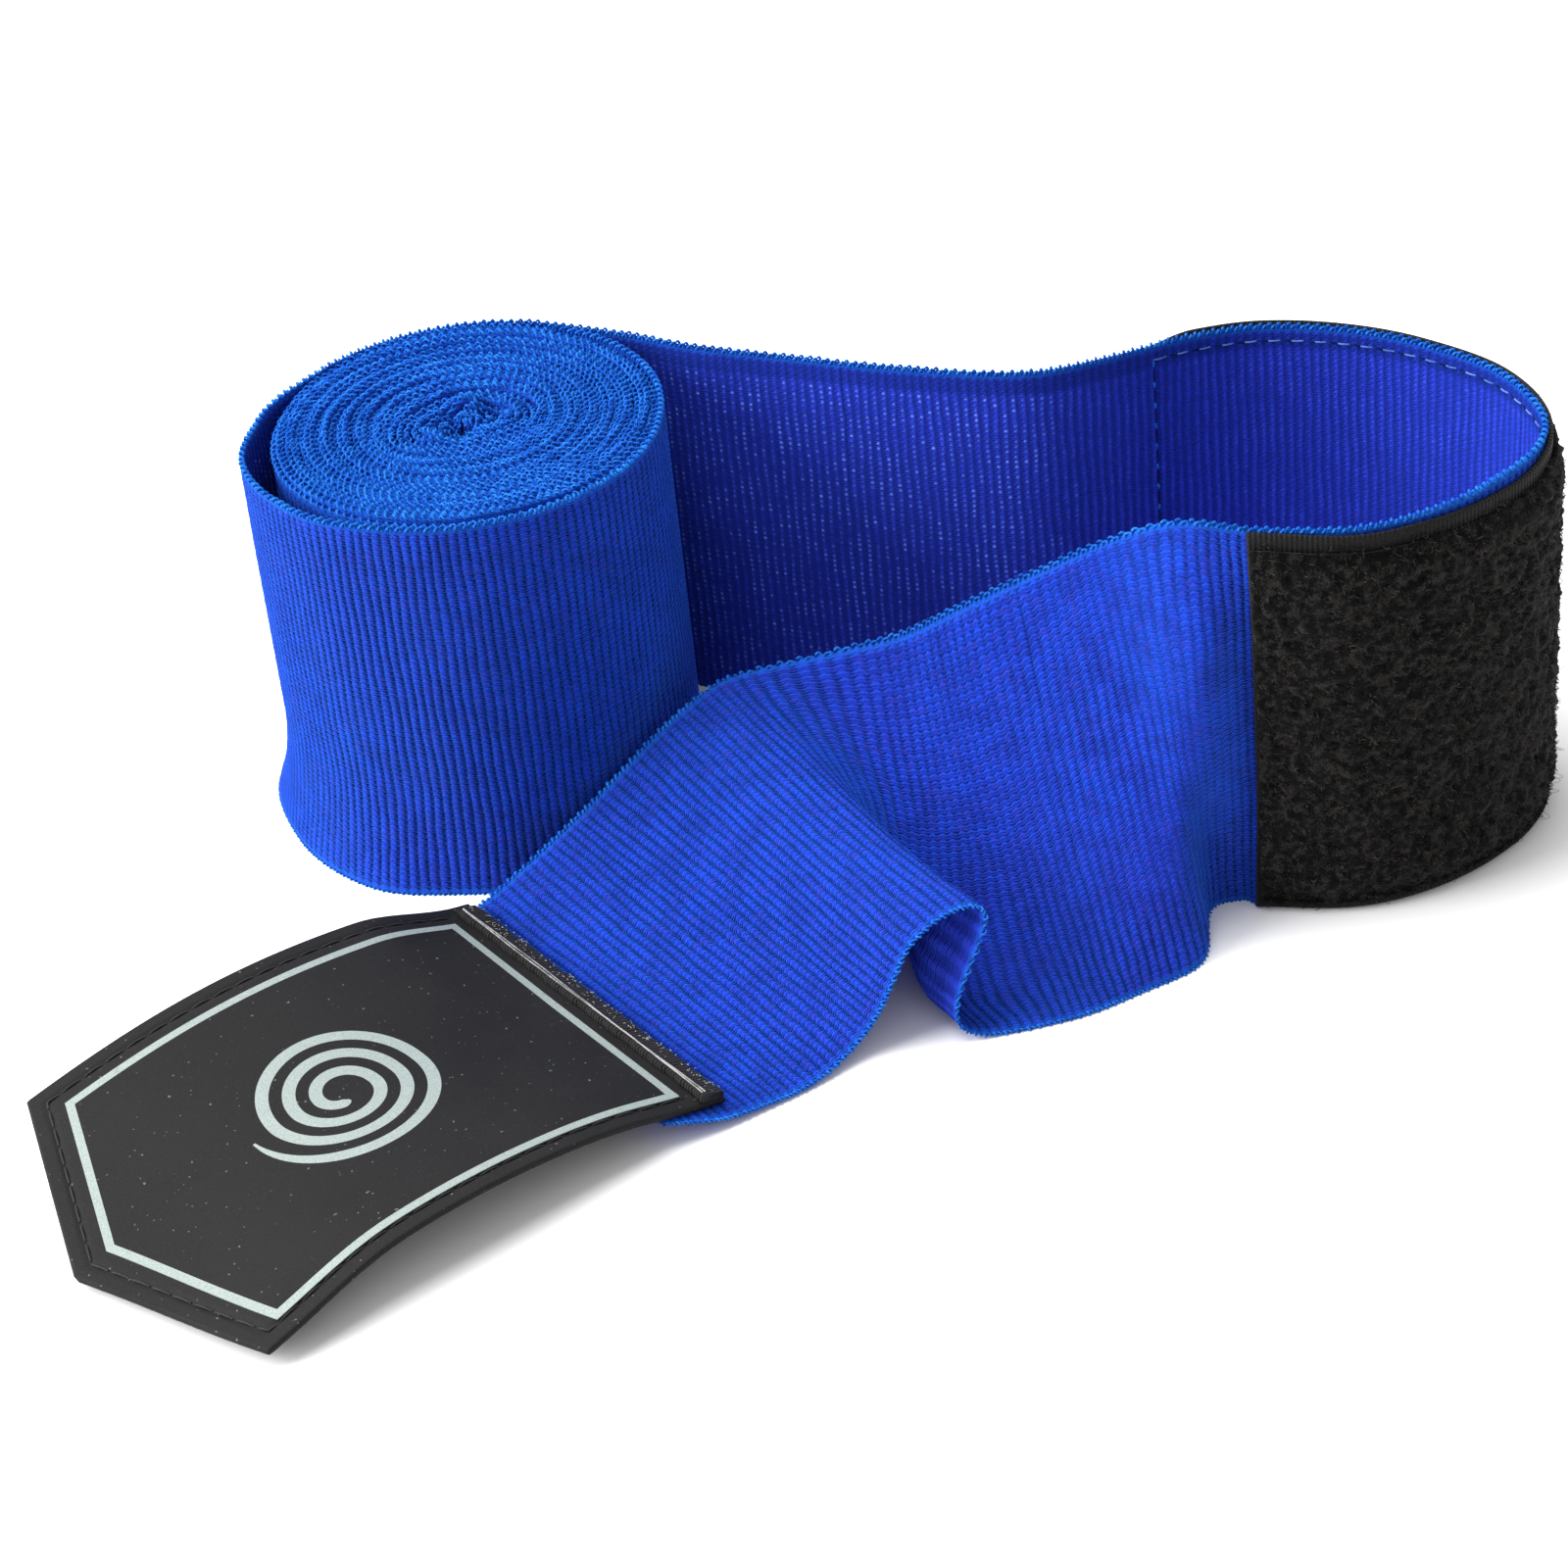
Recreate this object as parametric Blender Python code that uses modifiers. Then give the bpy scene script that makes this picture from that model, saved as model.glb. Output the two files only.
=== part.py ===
"""Hand wrap: a 5 cm knitted band, rolled up from its thumb loop, with its closing end left free.

The roll stands on its cut edges. The band leaves it at the back, runs right, turns back in a U that carries
the loop patch, twists down over a small hump and ends in a pointed hook tab in front of the roll.
Positions are in millimetres from the roll's axis on the floor: +X right, +Y back, +Z up. The root empty
scales them to metres and puts the origin at the bottom centre of the whole object's box.
"""

import math

import bmesh
import bpy
from mathutils import Vector

MM = 0.001

# Band
BAND_WIDTH = 50.0
BAND_THICKNESS = 0.5
SKIN_GAP = 0.15
HINGE_GAP = 0.3

# Roll
LEAVE_ANGLE = math.radians(62.0)
LEAVE_RADIUS = 24.2
TURN_PITCH = 0.57
LOOSE_EXTRA = 0.2
EYE_RADIUS = 3.6
STEPS_PER_TURN = 16
# How far the loose outer turn stands off the roll, as (angle in degrees, mm) at its upper and its lower edge
UPPER_BULGE = ((62, 0.0), (130, 0.0), (160, 1.3), (190, 2.6), (222, 1.9), (250, 0.2), (290, 0.2), (320, 0.6),
               (360, 0.0))
LOWER_BULGE = ((62, 0.0), (110, 0.6), (145, 4.0), (172, 6.2), (200, 5.0), (232, 4.8), (258, 2.8), (285, 0.8),
               (330, 0.0))

# Free band, in plan: from the roll to the loop patch, then round the patch
BACK_RUN = ((19.8, 17.1), (27.9, 12.1), (38.5, 7.3), (49.0, 2.6), (60.0, -1.5), (68.0, -3.0), (77.0, -1.1),
            (80.2, -0.1))
PATCH_BEND = ((80.2, -0.1), (86.4, 1.7), (94.5, 2.3), (103.7, -0.3), (112.2, -5.6), (119.3, -14.3), (122.2, -25.0),
              (119.5, -33.0), (112.4, -39.8), (104.5, -43.9), (96.5, -45.2))
PATCH_END = (86.6, -43.2)
# Free band, from the patch to the tab: (far selvedge, near selvedge) of its ribs, where the band twists and folds
FRONT_RUN = (
    ((86.6, -43.2, 50.0), (86.6, -43.2, 0.0)),
    ((79.0, -38.0, 49.0), (80.7, -46.0, 0.0)),
    ((73.0, -32.0, 44.0), (77.7, -54.0, 0.1)),
    ((65.0, -28.0, 38.5), (71.0, -59.0, 0.2)),
    ((56.5, -24.7, 33.0), (63.0, -62.2, 0.3)),
    ((48.6, -20.7, 27.0), (54.3, -62.5, 0.6)),
    ((42.5, -18.2, 24.3), (50.4, -62.6, 3.4)),
    ((35.8, -16.8, 22.4), (51.4, -62.0, 9.7)),
    ((29.0, -16.6, 21.2), (53.2, -60.0, 15.2)),
    ((25.7, -17.2, 20.2), (50.8, -60.1, 16.4)),
    ((20.0, -19.3, 17.0), (45.3, -61.8, 13.0)),
    ((14.7, -22.0, 13.5), (42.0, -63.1, 7.0)),
    ((9.4, -24.9, 10.0), (37.9, -64.9, 2.0)),
    ((3.9, -27.5, 6.6), (32.0, -68.2, 0.7)),
)

# Loop patch, on the outer side of the band: smooth woven ground, pile inside its border
GROUND_THICKNESS = 0.5
PILE_THICKNESS = 1.3
GROUND_BORDER = 2.5
PATCH_SEAM_INSET = 3.0
SEAM_END_INSET = 1.0
THREAD_RADIUS = 0.15

# Tab: s runs from the seam to the point, t runs across towards the far side
SEAM_CENTRE = (9.0, -51.1)
TAB_HEADING = math.radians(214.5)
TAB_HALF_WIDTH = 25.3
TAB_SHOULDER = 60.0
TAB_LENGTH = 69.0
TAB_START = 0.5
TIP_HALF_WIDTH = 0.6
TAB_BASE_HEIGHT = 2.2
TAB_TIP_HEIGHT = 1.75
TAB_ARCH = 5.0
TAB_STATIONS = (0.5, 5.0, 10.0, 15.0, 20.0, 25.0, 30.0, 39.0, 44.0, 49.0, 54.5, 60.0, 64.5, 69.0)
FACE_THICKNESS = 0.9
HOOK_START = 9.6
HOOK_END = 66.5
HOOK_MARGIN = 1.2
HOOK_THICKNESS = 1.3
BAND_END = 9.0
PRINT_THICKNESS = 0.12
PRINT_GAP = 0.12
BORDER_START = 5.4
BORDER_INSET = 4.6
BORDER_WIDTH = 1.2
EDGE_SEAM_INSET = 2.2
EDGE_SEAM_START = 4.7
BINDING_END = 4.0
BINDING_THICKNESS = 0.7
SEAM_LINE = 3.0
EMBLEM_CENTRE = 34.0
EMBLEM_RADIUS = 11.5
EMBLEM_EYE = 1.8
EMBLEM_TURNS = 3.25
EMBLEM_LINE = 1.5

# Thumb loop, folded lengthwise and flat in the eye of the roll
LOOP_WIDTH = 4.2
LOOP_THICKNESS = 0.7
LOOP_HALF_GAP = 0.85
LOOP_BOTTOM = 5.0
LOOP_TOP = 44.0
TACK_HEIGHT = 8.0
TACK_RADIUS = 0.12


def clear_scene():
    for item in list(bpy.data.objects):
        bpy.data.objects.remove(item)


def material(name, colour, roughness):
    made = bpy.data.materials.new(name)
    made.use_nodes = True
    shader = made.node_tree.nodes["Principled BSDF"]
    shader.inputs["Base Color"].default_value = (*colour, 1.0)
    shader.inputs["Roughness"].default_value = roughness
    shader.inputs["Metallic"].default_value = 0.0
    return made


def place(name, data, finish):
    """Puts a mesh or curve into the hand wrap's collection under the root empty."""
    item = bpy.data.objects.new(name, data)
    item.data.materials.append(finish)
    WRAP.objects.link(item)
    item.parent = ROOT
    return item


def spline_points(points, steps):
    """Catmull-Rom curve through the points, with the same number of steps in each span."""
    known = [Vector(p) for p in points]
    known = [2 * known[0] - known[1]] + known + [2 * known[-1] - known[-2]]
    curve = []
    for a, b, c, d in zip(known, known[1:], known[2:], known[3:]):
        for i in range(steps):
            u = i / steps
            curve.append(0.5 * (2 * b + (c - a) * u + (2 * a - 5 * b + 4 * c - d) * u ** 2
                                + (3 * b - a - 3 * c + d) * u ** 3))
    return curve + [known[-2]]


def trimmed(path, at_start, at_end):
    """The same path with its first and last segments shortened."""
    first = path[0] + (path[1] - path[0]).normalized() * at_start
    last = path[-1] + (path[-2] - path[-1]).normalized() * at_end
    return [first] + path[1:-1] + [last]


def between(table, value):
    """Smooth interpolation in a table of (position, amount) pairs."""
    if value <= table[0][0]:
        return table[0][1]
    for (x0, y0), (x1, y1) in zip(table, table[1:]):
        if value <= x1:
            u = (value - x0) / (x1 - x0)
            return y0 + (y1 - y0) * u * u * (3 - 2 * u)
    return table[-1][1]


def ribbon(name, lower, upper, thickness, finish, closed=False):
    """A strip between two edges, thickened evenly on both sides."""
    shape = bmesh.new()
    low = [shape.verts.new(p) for p in lower]
    high = [shape.verts.new(p) for p in upper]
    count = len(low)
    for i in range(count if closed else count - 1):
        j = (i + 1) % count
        shape.faces.new((low[i], low[j], high[j], high[i]))
    data = bpy.data.meshes.new(name)
    shape.to_mesh(data)
    shape.free()
    item = place(name, data, finish)
    solid = item.modifiers.new("thickness", "SOLIDIFY")
    solid.thickness = thickness
    solid.offset = 0.0
    solid.use_even_offset = True
    return item


def thread(name, points, radius, finish, closed=False):
    """One continuous sewing thread through the points."""
    data = bpy.data.curves.new(name, "CURVE")
    data.dimensions = "3D"
    data.bevel_depth = radius
    data.bevel_resolution = 0
    data.use_fill_caps = True
    route = data.splines.new("POLY")
    route.points.add(len(points) - 1)
    for knot, p in zip(route.points, points):
        knot.co = (*p, 1.0)
    route.use_cyclic_u = closed
    return place(name, data, finish)


def standing(path, low, high):
    """The two edges of a band that stands upright on a plan path."""
    return [(p.x, p.y, low) for p in path], [(p.x, p.y, high) for p in path]


def shifted(path, distance):
    """A plan path moved to its left by a distance."""
    moved = []
    for i, p in enumerate(path):
        along = (path[min(i + 1, len(path) - 1)] - path[max(i - 1, 0)]).normalized()
        moved.append(p + Vector((-along.y, along.x)) * distance)
    return moved


def leave_point():
    return Vector((LEAVE_RADIUS * math.cos(LEAVE_ANGLE), LEAVE_RADIUS * math.sin(LEAVE_ANGLE)))


def rolled_band():
    """The wound turns, from the eye to the line where the loose outer turn becomes the free band."""
    turns = (LEAVE_RADIUS - LOOSE_EXTRA - EYE_RADIUS) / TURN_PITCH
    lower, upper = [], []
    for i in range(int(turns * STEPS_PER_TURN) + 1):
        turn = i / STEPS_PER_TURN
        angle = LEAVE_ANGLE + 2 * math.pi * turn
        radius = LEAVE_RADIUS - LOOSE_EXTRA * min(turn, 1.0) - TURN_PITCH * turn
        loose = math.degrees(angle) if turn < 1.0 else 0.0
        for edge, bulge, z in ((lower, LOWER_BULGE, 0.0), (upper, UPPER_BULGE, BAND_WIDTH)):
            reach = radius + between(bulge, loose)
            edge.append(Vector((reach * math.cos(angle), reach * math.sin(angle), z)))
    lower = trimmed(lower, HINGE_GAP, 0.0)
    upper = trimmed(upper, HINGE_GAP, 0.0)
    ribbon("rolled_band", lower, upper, BAND_THICKNESS, BLUE)


def thumb_loop():
    """A narrow tape in a hairpin, upright in the eye, and the thread that ties its two legs to the band."""
    crown = LOOP_TOP - LOOP_HALF_GAP
    path = [(LOOP_HALF_GAP, LOOP_BOTTOM), (LOOP_HALF_GAP, crown)]
    for i in range(1, 6):
        angle = math.pi * i / 6
        path.append((LOOP_HALF_GAP * math.cos(angle), crown + LOOP_HALF_GAP * math.sin(angle)))
    path += [(-LOOP_HALF_GAP, crown), (-LOOP_HALF_GAP, LOOP_BOTTOM)]
    near = [(x, -LOOP_WIDTH / 2, z) for x, z in path]
    far = [(x, LOOP_WIDTH / 2, z) for x, z in path]
    ribbon("thumb_loop", near, far, LOOP_THICKNESS, BLUE)
    reach_x = LOOP_HALF_GAP + LOOP_THICKNESS / 2 + 2 * TACK_RADIUS
    reach_y = LOOP_WIDTH / 2 + 2 * TACK_RADIUS
    corners = ((reach_x, reach_y), (-reach_x, reach_y), (-reach_x, -reach_y), (reach_x, -reach_y))
    thread("thumb_loop_thread", [(x, y, TACK_HEIGHT) for x, y in corners], TACK_RADIUS, PALE_THREAD, closed=True)


def back_run_band():
    path = spline_points((leave_point(),) + BACK_RUN, 3)
    path = trimmed(path, HINGE_GAP, HINGE_GAP)
    lower, upper = standing(path, 0.0, BAND_WIDTH)
    ribbon("back_run_band", lower, upper, BAND_THICKNESS, BLUE)


def loop_patch():
    """The band's U and the loop fastener sewn to its outer side."""
    path = spline_points(PATCH_BEND, 4) + [Vector(PATCH_END)]
    path = trimmed(path, HINGE_GAP, HINGE_GAP)
    lower, upper = standing(path, 0.0, BAND_WIDTH)
    ribbon("patch_band", lower, upper, BAND_THICKNESS, BLUE)

    outward = BAND_THICKNESS / 2 + SKIN_GAP + GROUND_THICKNESS / 2
    ground = shifted(trimmed(path, 0.2, 0.2), outward)
    lower, upper = standing(ground, 0.2, BAND_WIDTH - 0.2)
    ribbon("loop_patch_ground", lower, upper, GROUND_THICKNESS, BLACK_TAPE)

    outward += GROUND_THICKNESS / 2 + SKIN_GAP + PILE_THICKNESS / 2
    pile = shifted(trimmed(path, 0.6, 0.6), outward)
    lower, upper = standing(pile, GROUND_BORDER, BAND_WIDTH - GROUND_BORDER)
    ribbon("loop_patch_pile", lower, upper, PILE_THICKNESS, BLACK_PILE)

    inward = BAND_THICKNESS / 2 + SKIN_GAP + THREAD_RADIUS
    seam = shifted(trimmed(path, SEAM_END_INSET, SEAM_END_INSET), -inward)
    low = [(p.x, p.y, PATCH_SEAM_INSET) for p in seam]
    high = [(p.x, p.y, BAND_WIDTH - PATCH_SEAM_INSET) for p in reversed(seam)]
    thread("loop_patch_thread", low + high, THREAD_RADIUS, BLUE_THREAD, closed=True)


def front_run_band():
    """The twisted stretch, which ends on the tab's seam."""
    seam_depth = FACE_THICKNESS + SKIN_GAP + BAND_THICKNESS / 2
    far_edge = [row[0] for row in FRONT_RUN] + [tab_point(0.0, BAND_WIDTH / 2, seam_depth)]
    near_edge = [row[1] for row in FRONT_RUN] + [tab_point(0.0, -BAND_WIDTH / 2, seam_depth)]
    far = trimmed(spline_points(far_edge, 2), HINGE_GAP, HINGE_GAP)
    near = trimmed(spline_points(near_edge, 2), HINGE_GAP, HINGE_GAP)
    ribbon("front_run_band", near, far, BAND_THICKNESS, BLUE)


def arch_height(s):
    """Height of the arch that the tab's upper face follows between the seam and the point."""
    share = s / TAB_LENGTH
    return TAB_BASE_HEIGHT + (TAB_TIP_HEIGHT - TAB_BASE_HEIGHT) * share + TAB_ARCH * math.sin(math.pi * share)


def tab_height(s):
    """Height of the tab's upper face, which is flat between its stations."""
    for start, end in zip(TAB_STATIONS, TAB_STATIONS[1:]):
        if s <= end or end == TAB_LENGTH:
            share = (s - start) / (end - start)
            return arch_height(start) + (arch_height(end) - arch_height(start)) * share


def tab_point(s, t, depth=0.0):
    """A point on the tab, at a depth below its upper face."""
    along = Vector((math.cos(TAB_HEADING), math.sin(TAB_HEADING), 0.0))
    across = Vector((along.y, -along.x, 0.0))
    slope = (tab_height(s + 0.5) - tab_height(s - 0.5))
    normal = Vector((-slope * along.x, -slope * along.y, 1.0)).normalized()
    centre = Vector((*SEAM_CENTRE, tab_height(s)))
    return centre + along * s + across * t - normal * depth


def tab_half_width(s, inset=0.0):
    """Half the width of the tab's outline, or of the outline moved in by an inset."""
    taper = (TAB_HALF_WIDTH - TIP_HALF_WIDTH) / (TAB_LENGTH - TAB_SHOULDER)
    side = TAB_HALF_WIDTH - inset
    point = TAB_HALF_WIDTH - (s - TAB_SHOULDER) * taper - inset * math.hypot(1.0, taper)
    return min(side, point)


def tab_stations(start, end, extra=()):
    """Distances along the tab where its sections lie, from start to end."""
    inner = [s for s in TAB_STATIONS + tuple(extra) if start + 0.5 < s < end - 0.5]
    return [start] + sorted(inner) + [end]


def tab_layer(name, start, end, inset, depth, thickness, finish, shoulder=None):
    """One flat layer of the tab, bent to its arch."""
    extra = (shoulder,) if shoulder else ()
    near, far = [], []
    for s in tab_stations(start, end, extra):
        half = max(tab_half_width(s, inset), TIP_HALF_WIDTH)
        near.append(tab_point(s, -half, depth))
        far.append(tab_point(s, half, depth))
    return ribbon(name, near, far, thickness, finish)


def tab_outline(start, inset):
    """The tab's outline moved in by an inset, as (s, t) round the pentagon, with points on every section."""
    taper = (TAB_HALF_WIDTH - TIP_HALF_WIDTH) / (TAB_LENGTH - TAB_SHOULDER)
    side = TAB_HALF_WIDTH - inset
    shoulder = TAB_SHOULDER + (TAB_HALF_WIDTH - inset * math.hypot(1.0, taper) - side) / taper
    tip = TAB_SHOULDER + (TAB_HALF_WIDTH - inset * math.hypot(1.0, taper)) / taper
    rows = tab_stations(start, shoulder)
    far = [(s, side) for s in rows]
    near = [(s, -side) for s in reversed(rows)]
    return far + [(tip, 0.0)] + near


def tab():
    """The closing tab: face, hook tape, the band's sewn end, prints, binding and threads."""
    depth = FACE_THICKNESS / 2
    tab_layer("tab_face", TAB_START, TAB_LENGTH, 0.0, depth, FACE_THICKNESS, BLACK_FACE)
    under = FACE_THICKNESS + SKIN_GAP
    tab_layer("tab_hook_tape", HOOK_START, HOOK_END, HOOK_MARGIN, under + HOOK_THICKNESS / 2, HOOK_THICKNESS,
              BLACK_TAPE)
    tab_layer("sewn_band_end", HINGE_GAP, BAND_END, 0.3, under + BAND_THICKNESS / 2, BAND_THICKNESS, BLUE)

    above = -(PRINT_GAP + PRINT_THICKNESS / 2)
    outer = tab_outline(BORDER_START, BORDER_INSET)
    inner = tab_outline(BORDER_START + BORDER_WIDTH, BORDER_INSET + BORDER_WIDTH)
    outer = [tab_point(s, t, above) for s, t in outer]
    inner = [tab_point(s, t, above) for s, t in inner]
    ribbon("tab_border_print", inner, outer, PRINT_THICKNESS, PRINT, closed=True)

    left, right = [], []
    for s, t, side_s, side_t in emblem_line():
        left.append(tab_point(s + side_s, t + side_t, above))
        right.append(tab_point(s - side_s, t - side_t, above))
    ribbon("tab_emblem_print", left, right, PRINT_THICKNESS, PRINT)

    over = -(SKIN_GAP + THREAD_RADIUS)
    seam = [tab_point(s, t, over) for s, t in tab_outline(EDGE_SEAM_START, EDGE_SEAM_INSET)]
    thread("tab_edge_thread", seam, THREAD_RADIUS, BLACK_THREAD, closed=True)

    rise = -(SKIN_GAP + BINDING_THICKNESS / 2)
    near = [tab_point(s, -TAB_HALF_WIDTH, rise) for s in (TAB_START, BINDING_END)]
    far = [tab_point(s, TAB_HALF_WIDTH, rise) for s in (TAB_START, BINDING_END)]
    ribbon("tab_binding", near, far, BINDING_THICKNESS, BLACK_TAPE)

    top = -(2 * SKIN_GAP + BINDING_THICKNESS + THREAD_RADIUS)
    reach = TAB_HALF_WIDTH - 0.8
    thread("tab_seam_thread", [tab_point(SEAM_LINE, t, top) for t in (-reach, reach)], THREAD_RADIUS, PALE_THREAD)


def emblem_line():
    """Centre line of the emblem, a rolled wrap seen end on: a spiral."""
    steps = int(EMBLEM_TURNS * 16)
    growth = (EMBLEM_RADIUS - EMBLEM_EYE) / steps
    line = []
    for i in range(steps + 1):
        angle = 2 * math.pi * (i / 16 - EMBLEM_TURNS)
        radius = EMBLEM_EYE + growth * i
        line.append(Vector((EMBLEM_CENTRE + radius * math.cos(angle), radius * math.sin(angle))))
    for i, p in enumerate(line):
        along = (line[min(i + 1, len(line) - 1)] - line[max(i - 1, 0)]).normalized()
        yield p.x, p.y, -along.y * EMBLEM_LINE / 2, along.x * EMBLEM_LINE / 2


def settle():
    """Scales to metres and moves the origin to the bottom centre of the whole object's box."""
    ROOT.scale = (MM, MM, MM)
    bpy.context.view_layer.update()
    graph = bpy.context.evaluated_depsgraph_get()
    corners = []
    for item in WRAP.objects:
        shown = item.evaluated_get(graph)
        data = shown.to_mesh()
        corners += [item.matrix_world @ v.co for v in data.vertices]
        shown.to_mesh_clear()
    middle_x = (min(p.x for p in corners) + max(p.x for p in corners)) / 2
    middle_y = (min(p.y for p in corners) + max(p.y for p in corners)) / 2
    ROOT.location = (-middle_x, -middle_y, -min(p.z for p in corners))


clear_scene()
WRAP = bpy.data.collections.new("hand_wrap")
bpy.context.scene.collection.children.link(WRAP)
ROOT = bpy.data.objects.new("root", None)
bpy.context.scene.collection.objects.link(ROOT)
BLUE = material("blue_knit", (0.008, 0.045, 0.42), 0.85)
BLUE_THREAD = material("blue_thread", (0.10, 0.22, 0.62), 0.7)
BLACK_TAPE = material("black_tape", (0.012, 0.012, 0.013), 0.7)
BLACK_PILE = material("black_pile", (0.008, 0.008, 0.008), 0.95)
BLACK_FACE = material("black_face", (0.02, 0.02, 0.022), 0.55)
BLACK_THREAD = material("black_thread", (0.01, 0.01, 0.01), 0.6)
PALE_THREAD = material("pale_thread", (0.45, 0.45, 0.43), 0.4)
PRINT = material("grey_print", (0.36, 0.42, 0.41), 0.5)
rolled_band()
thumb_loop()
back_run_band()
loop_patch()
front_run_band()
tab()
settle()
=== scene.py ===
"""Looks of the hand wrap: knitted band, wound roll, loop patch and pointed hook tab.

Shapes are laid out in millimetres from the roll's axis on the floor (+X right, +Y back, +Z up), and put
into the frame's metres by to_world(). The band is one continuous cloth: its path runs from the loose outer
turn of the roll, along the back run, round the U with the loop patch, and down to the tab's seam.
"""

import math

import bpy
import numpy as np
from mathutils import Matrix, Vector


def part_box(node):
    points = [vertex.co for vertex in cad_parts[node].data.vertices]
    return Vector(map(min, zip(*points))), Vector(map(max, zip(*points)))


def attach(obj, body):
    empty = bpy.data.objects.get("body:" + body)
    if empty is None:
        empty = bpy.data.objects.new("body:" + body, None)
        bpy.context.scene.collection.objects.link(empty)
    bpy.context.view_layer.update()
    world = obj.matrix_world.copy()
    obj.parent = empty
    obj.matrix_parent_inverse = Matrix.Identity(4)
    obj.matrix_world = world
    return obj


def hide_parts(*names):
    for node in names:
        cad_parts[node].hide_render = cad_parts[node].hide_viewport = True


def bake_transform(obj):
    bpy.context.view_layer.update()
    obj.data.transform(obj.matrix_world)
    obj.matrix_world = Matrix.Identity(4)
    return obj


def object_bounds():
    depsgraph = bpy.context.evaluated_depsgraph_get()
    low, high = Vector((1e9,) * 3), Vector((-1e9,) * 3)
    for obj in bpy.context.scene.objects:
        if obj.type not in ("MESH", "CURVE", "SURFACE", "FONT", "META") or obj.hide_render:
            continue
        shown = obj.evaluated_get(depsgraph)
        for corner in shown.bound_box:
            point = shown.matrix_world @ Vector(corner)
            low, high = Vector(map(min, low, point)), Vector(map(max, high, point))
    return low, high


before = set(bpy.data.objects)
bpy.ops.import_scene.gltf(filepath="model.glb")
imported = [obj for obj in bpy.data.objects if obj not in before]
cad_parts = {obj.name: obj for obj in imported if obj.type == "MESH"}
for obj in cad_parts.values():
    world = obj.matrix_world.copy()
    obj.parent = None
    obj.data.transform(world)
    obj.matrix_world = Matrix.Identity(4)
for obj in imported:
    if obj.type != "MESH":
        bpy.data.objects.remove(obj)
CAD_BOX = [list(corner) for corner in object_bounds()]

MM = 0.001
LOOP_LOW, LOOP_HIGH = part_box("thumb_loop")
ORIGIN = np.array([(LOOP_LOW.x + LOOP_HIGH.x) / 2, (LOOP_LOW.y + LOOP_HIGH.y) / 2, CAD_BOX[0][2]])
RANDOM = np.random.default_rng(7)
FULL = 2 * math.pi
# Points lower than this are eased up, so that the cloth rests on the floor
FLOOR_EASE = 0.12
# Spacing of the band's path, and the half step over which its directions are measured
PATH_STEP = 0.25
REACH = 0.4
# Points between two given points of a curve
SPLINE_STEPS = 24

# Band
WIDTH = 50.0
HALF_THICKNESS = 0.22
RIB = 1.14
STITCH = 0.70
RIB_STEPS = (0.0, 0.14, 0.30, 0.5, 0.70, 0.86)
OUTER_RELIEF = 0.25
INNER_RELIEF = 0.09
ROWS = 64
COIL_STEPS = 16
COIL_RADIUS = 0.18
LOWER_COIL = 0.7

# Roll
LEAVE_ANGLE = 62.0
LEAVE_RADIUS = 24.2
TURN_PITCH = 0.57
LOOSE_EXTRA = 0.5
BLOCK_SHIFT = (0.10, 0.45, 0.0)
EYE_RADIUS = 3.6
# On top, the turns inside this radius close up to a smaller eye
GATHER_RADIUS = 9.0
GATHERED_EYE = 0.9
# The wound turns are coarse below: phases of each rib, and heights of their rows of points
WOUND_STEPS = (0.0, 0.15, 0.5, 0.85)
WOUND_LEVELS = (0.35, 1.2, 25.0, 43.0, 46.0, 48.0, 49.6)
FLARE_HEIGHT = 15.0
# Angle round the roll and how far the loose turn bulges there, at its upper and its lower edge
UPPER_BULGE = ((62, 0.0), (140, 0.0), (165, 1.4), (190, 2.85), (222, 2.2), (250, 0.9), (290, 0.6),
               (320, 0.5), (360, 0.0))
LOWER_BULGE = ((62, 0.0), (110, 0.6), (145, 4.0), (172, 6.2), (200, 5.0), (232, 4.8), (258, 2.8),
               (285, 1.8), (310, 1.0), (335, 0.0))

# Free band in plan, then its far and near selvedge where it twists
BACK_RUN = ((19.8, 17.1), (27.9, 12.1), (38.5, 7.3), (49.0, 2.6), (60.0, -1.5), (68.0, -3.0), (77.0, -1.1),
            (80.2, -0.1))
PATCH_BEND = ((86.4, 1.7), (94.5, 2.3), (103.7, -0.3), (112.2, -5.6), (119.3, -14.3), (122.2, -25.0),
              (119.5, -33.0), (112.4, -39.8), (104.5, -43.9), (96.5, -45.2))
FRONT_RUN = (
    ((86.6, -43.2, 50.0), (86.6, -43.2, 0.0)),
    ((79.0, -38.0, 49.0), (80.4, -44.4, 0.0)),
    ((73.0, -32.0, 44.0), (78.8, -54.1, 0.1)),
    ((65.0, -28.0, 38.5), (70.8, -58.8, 0.2)),
    ((56.5, -24.7, 33.0), (63.0, -62.2, 0.3)),
    ((48.6, -20.7, 27.0), (52.3, -64.0, 0.5)),
    ((42.5, -18.2, 24.3), (49.1, -63.6, 3.2)),
    ((35.8, -16.8, 22.4), (51.4, -62.5, 9.3)),
    ((29.0, -16.6, 21.2), (54.3, -60.3, 14.6)),
    ((25.7, -17.2, 20.2), (51.2, -60.2, 15.9)),
    ((20.0, -19.3, 17.0), (45.3, -61.8, 13.0)),
    ((14.7, -22.0, 13.5), (42.0, -63.1, 7.0)),
    ((9.4, -24.9, 10.0), (38.9, -64.5, 2.7)),
    ((3.9, -27.5, 6.6), (33.0, -69.2, 0.6)),
)
PATCH_START = np.array([80.2, -0.1])
PATCH_END = np.array([86.6, -43.2])
# Length of band sewn into the tab, and how far its near edge stands out of the tab along that length
SEWN_LENGTH = 9.0
SEWN_OVERHANG = ((0.0, 2.5), (SEWN_LENGTH / 2, 1.6), (SEWN_LENGTH, 0.0))
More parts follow.
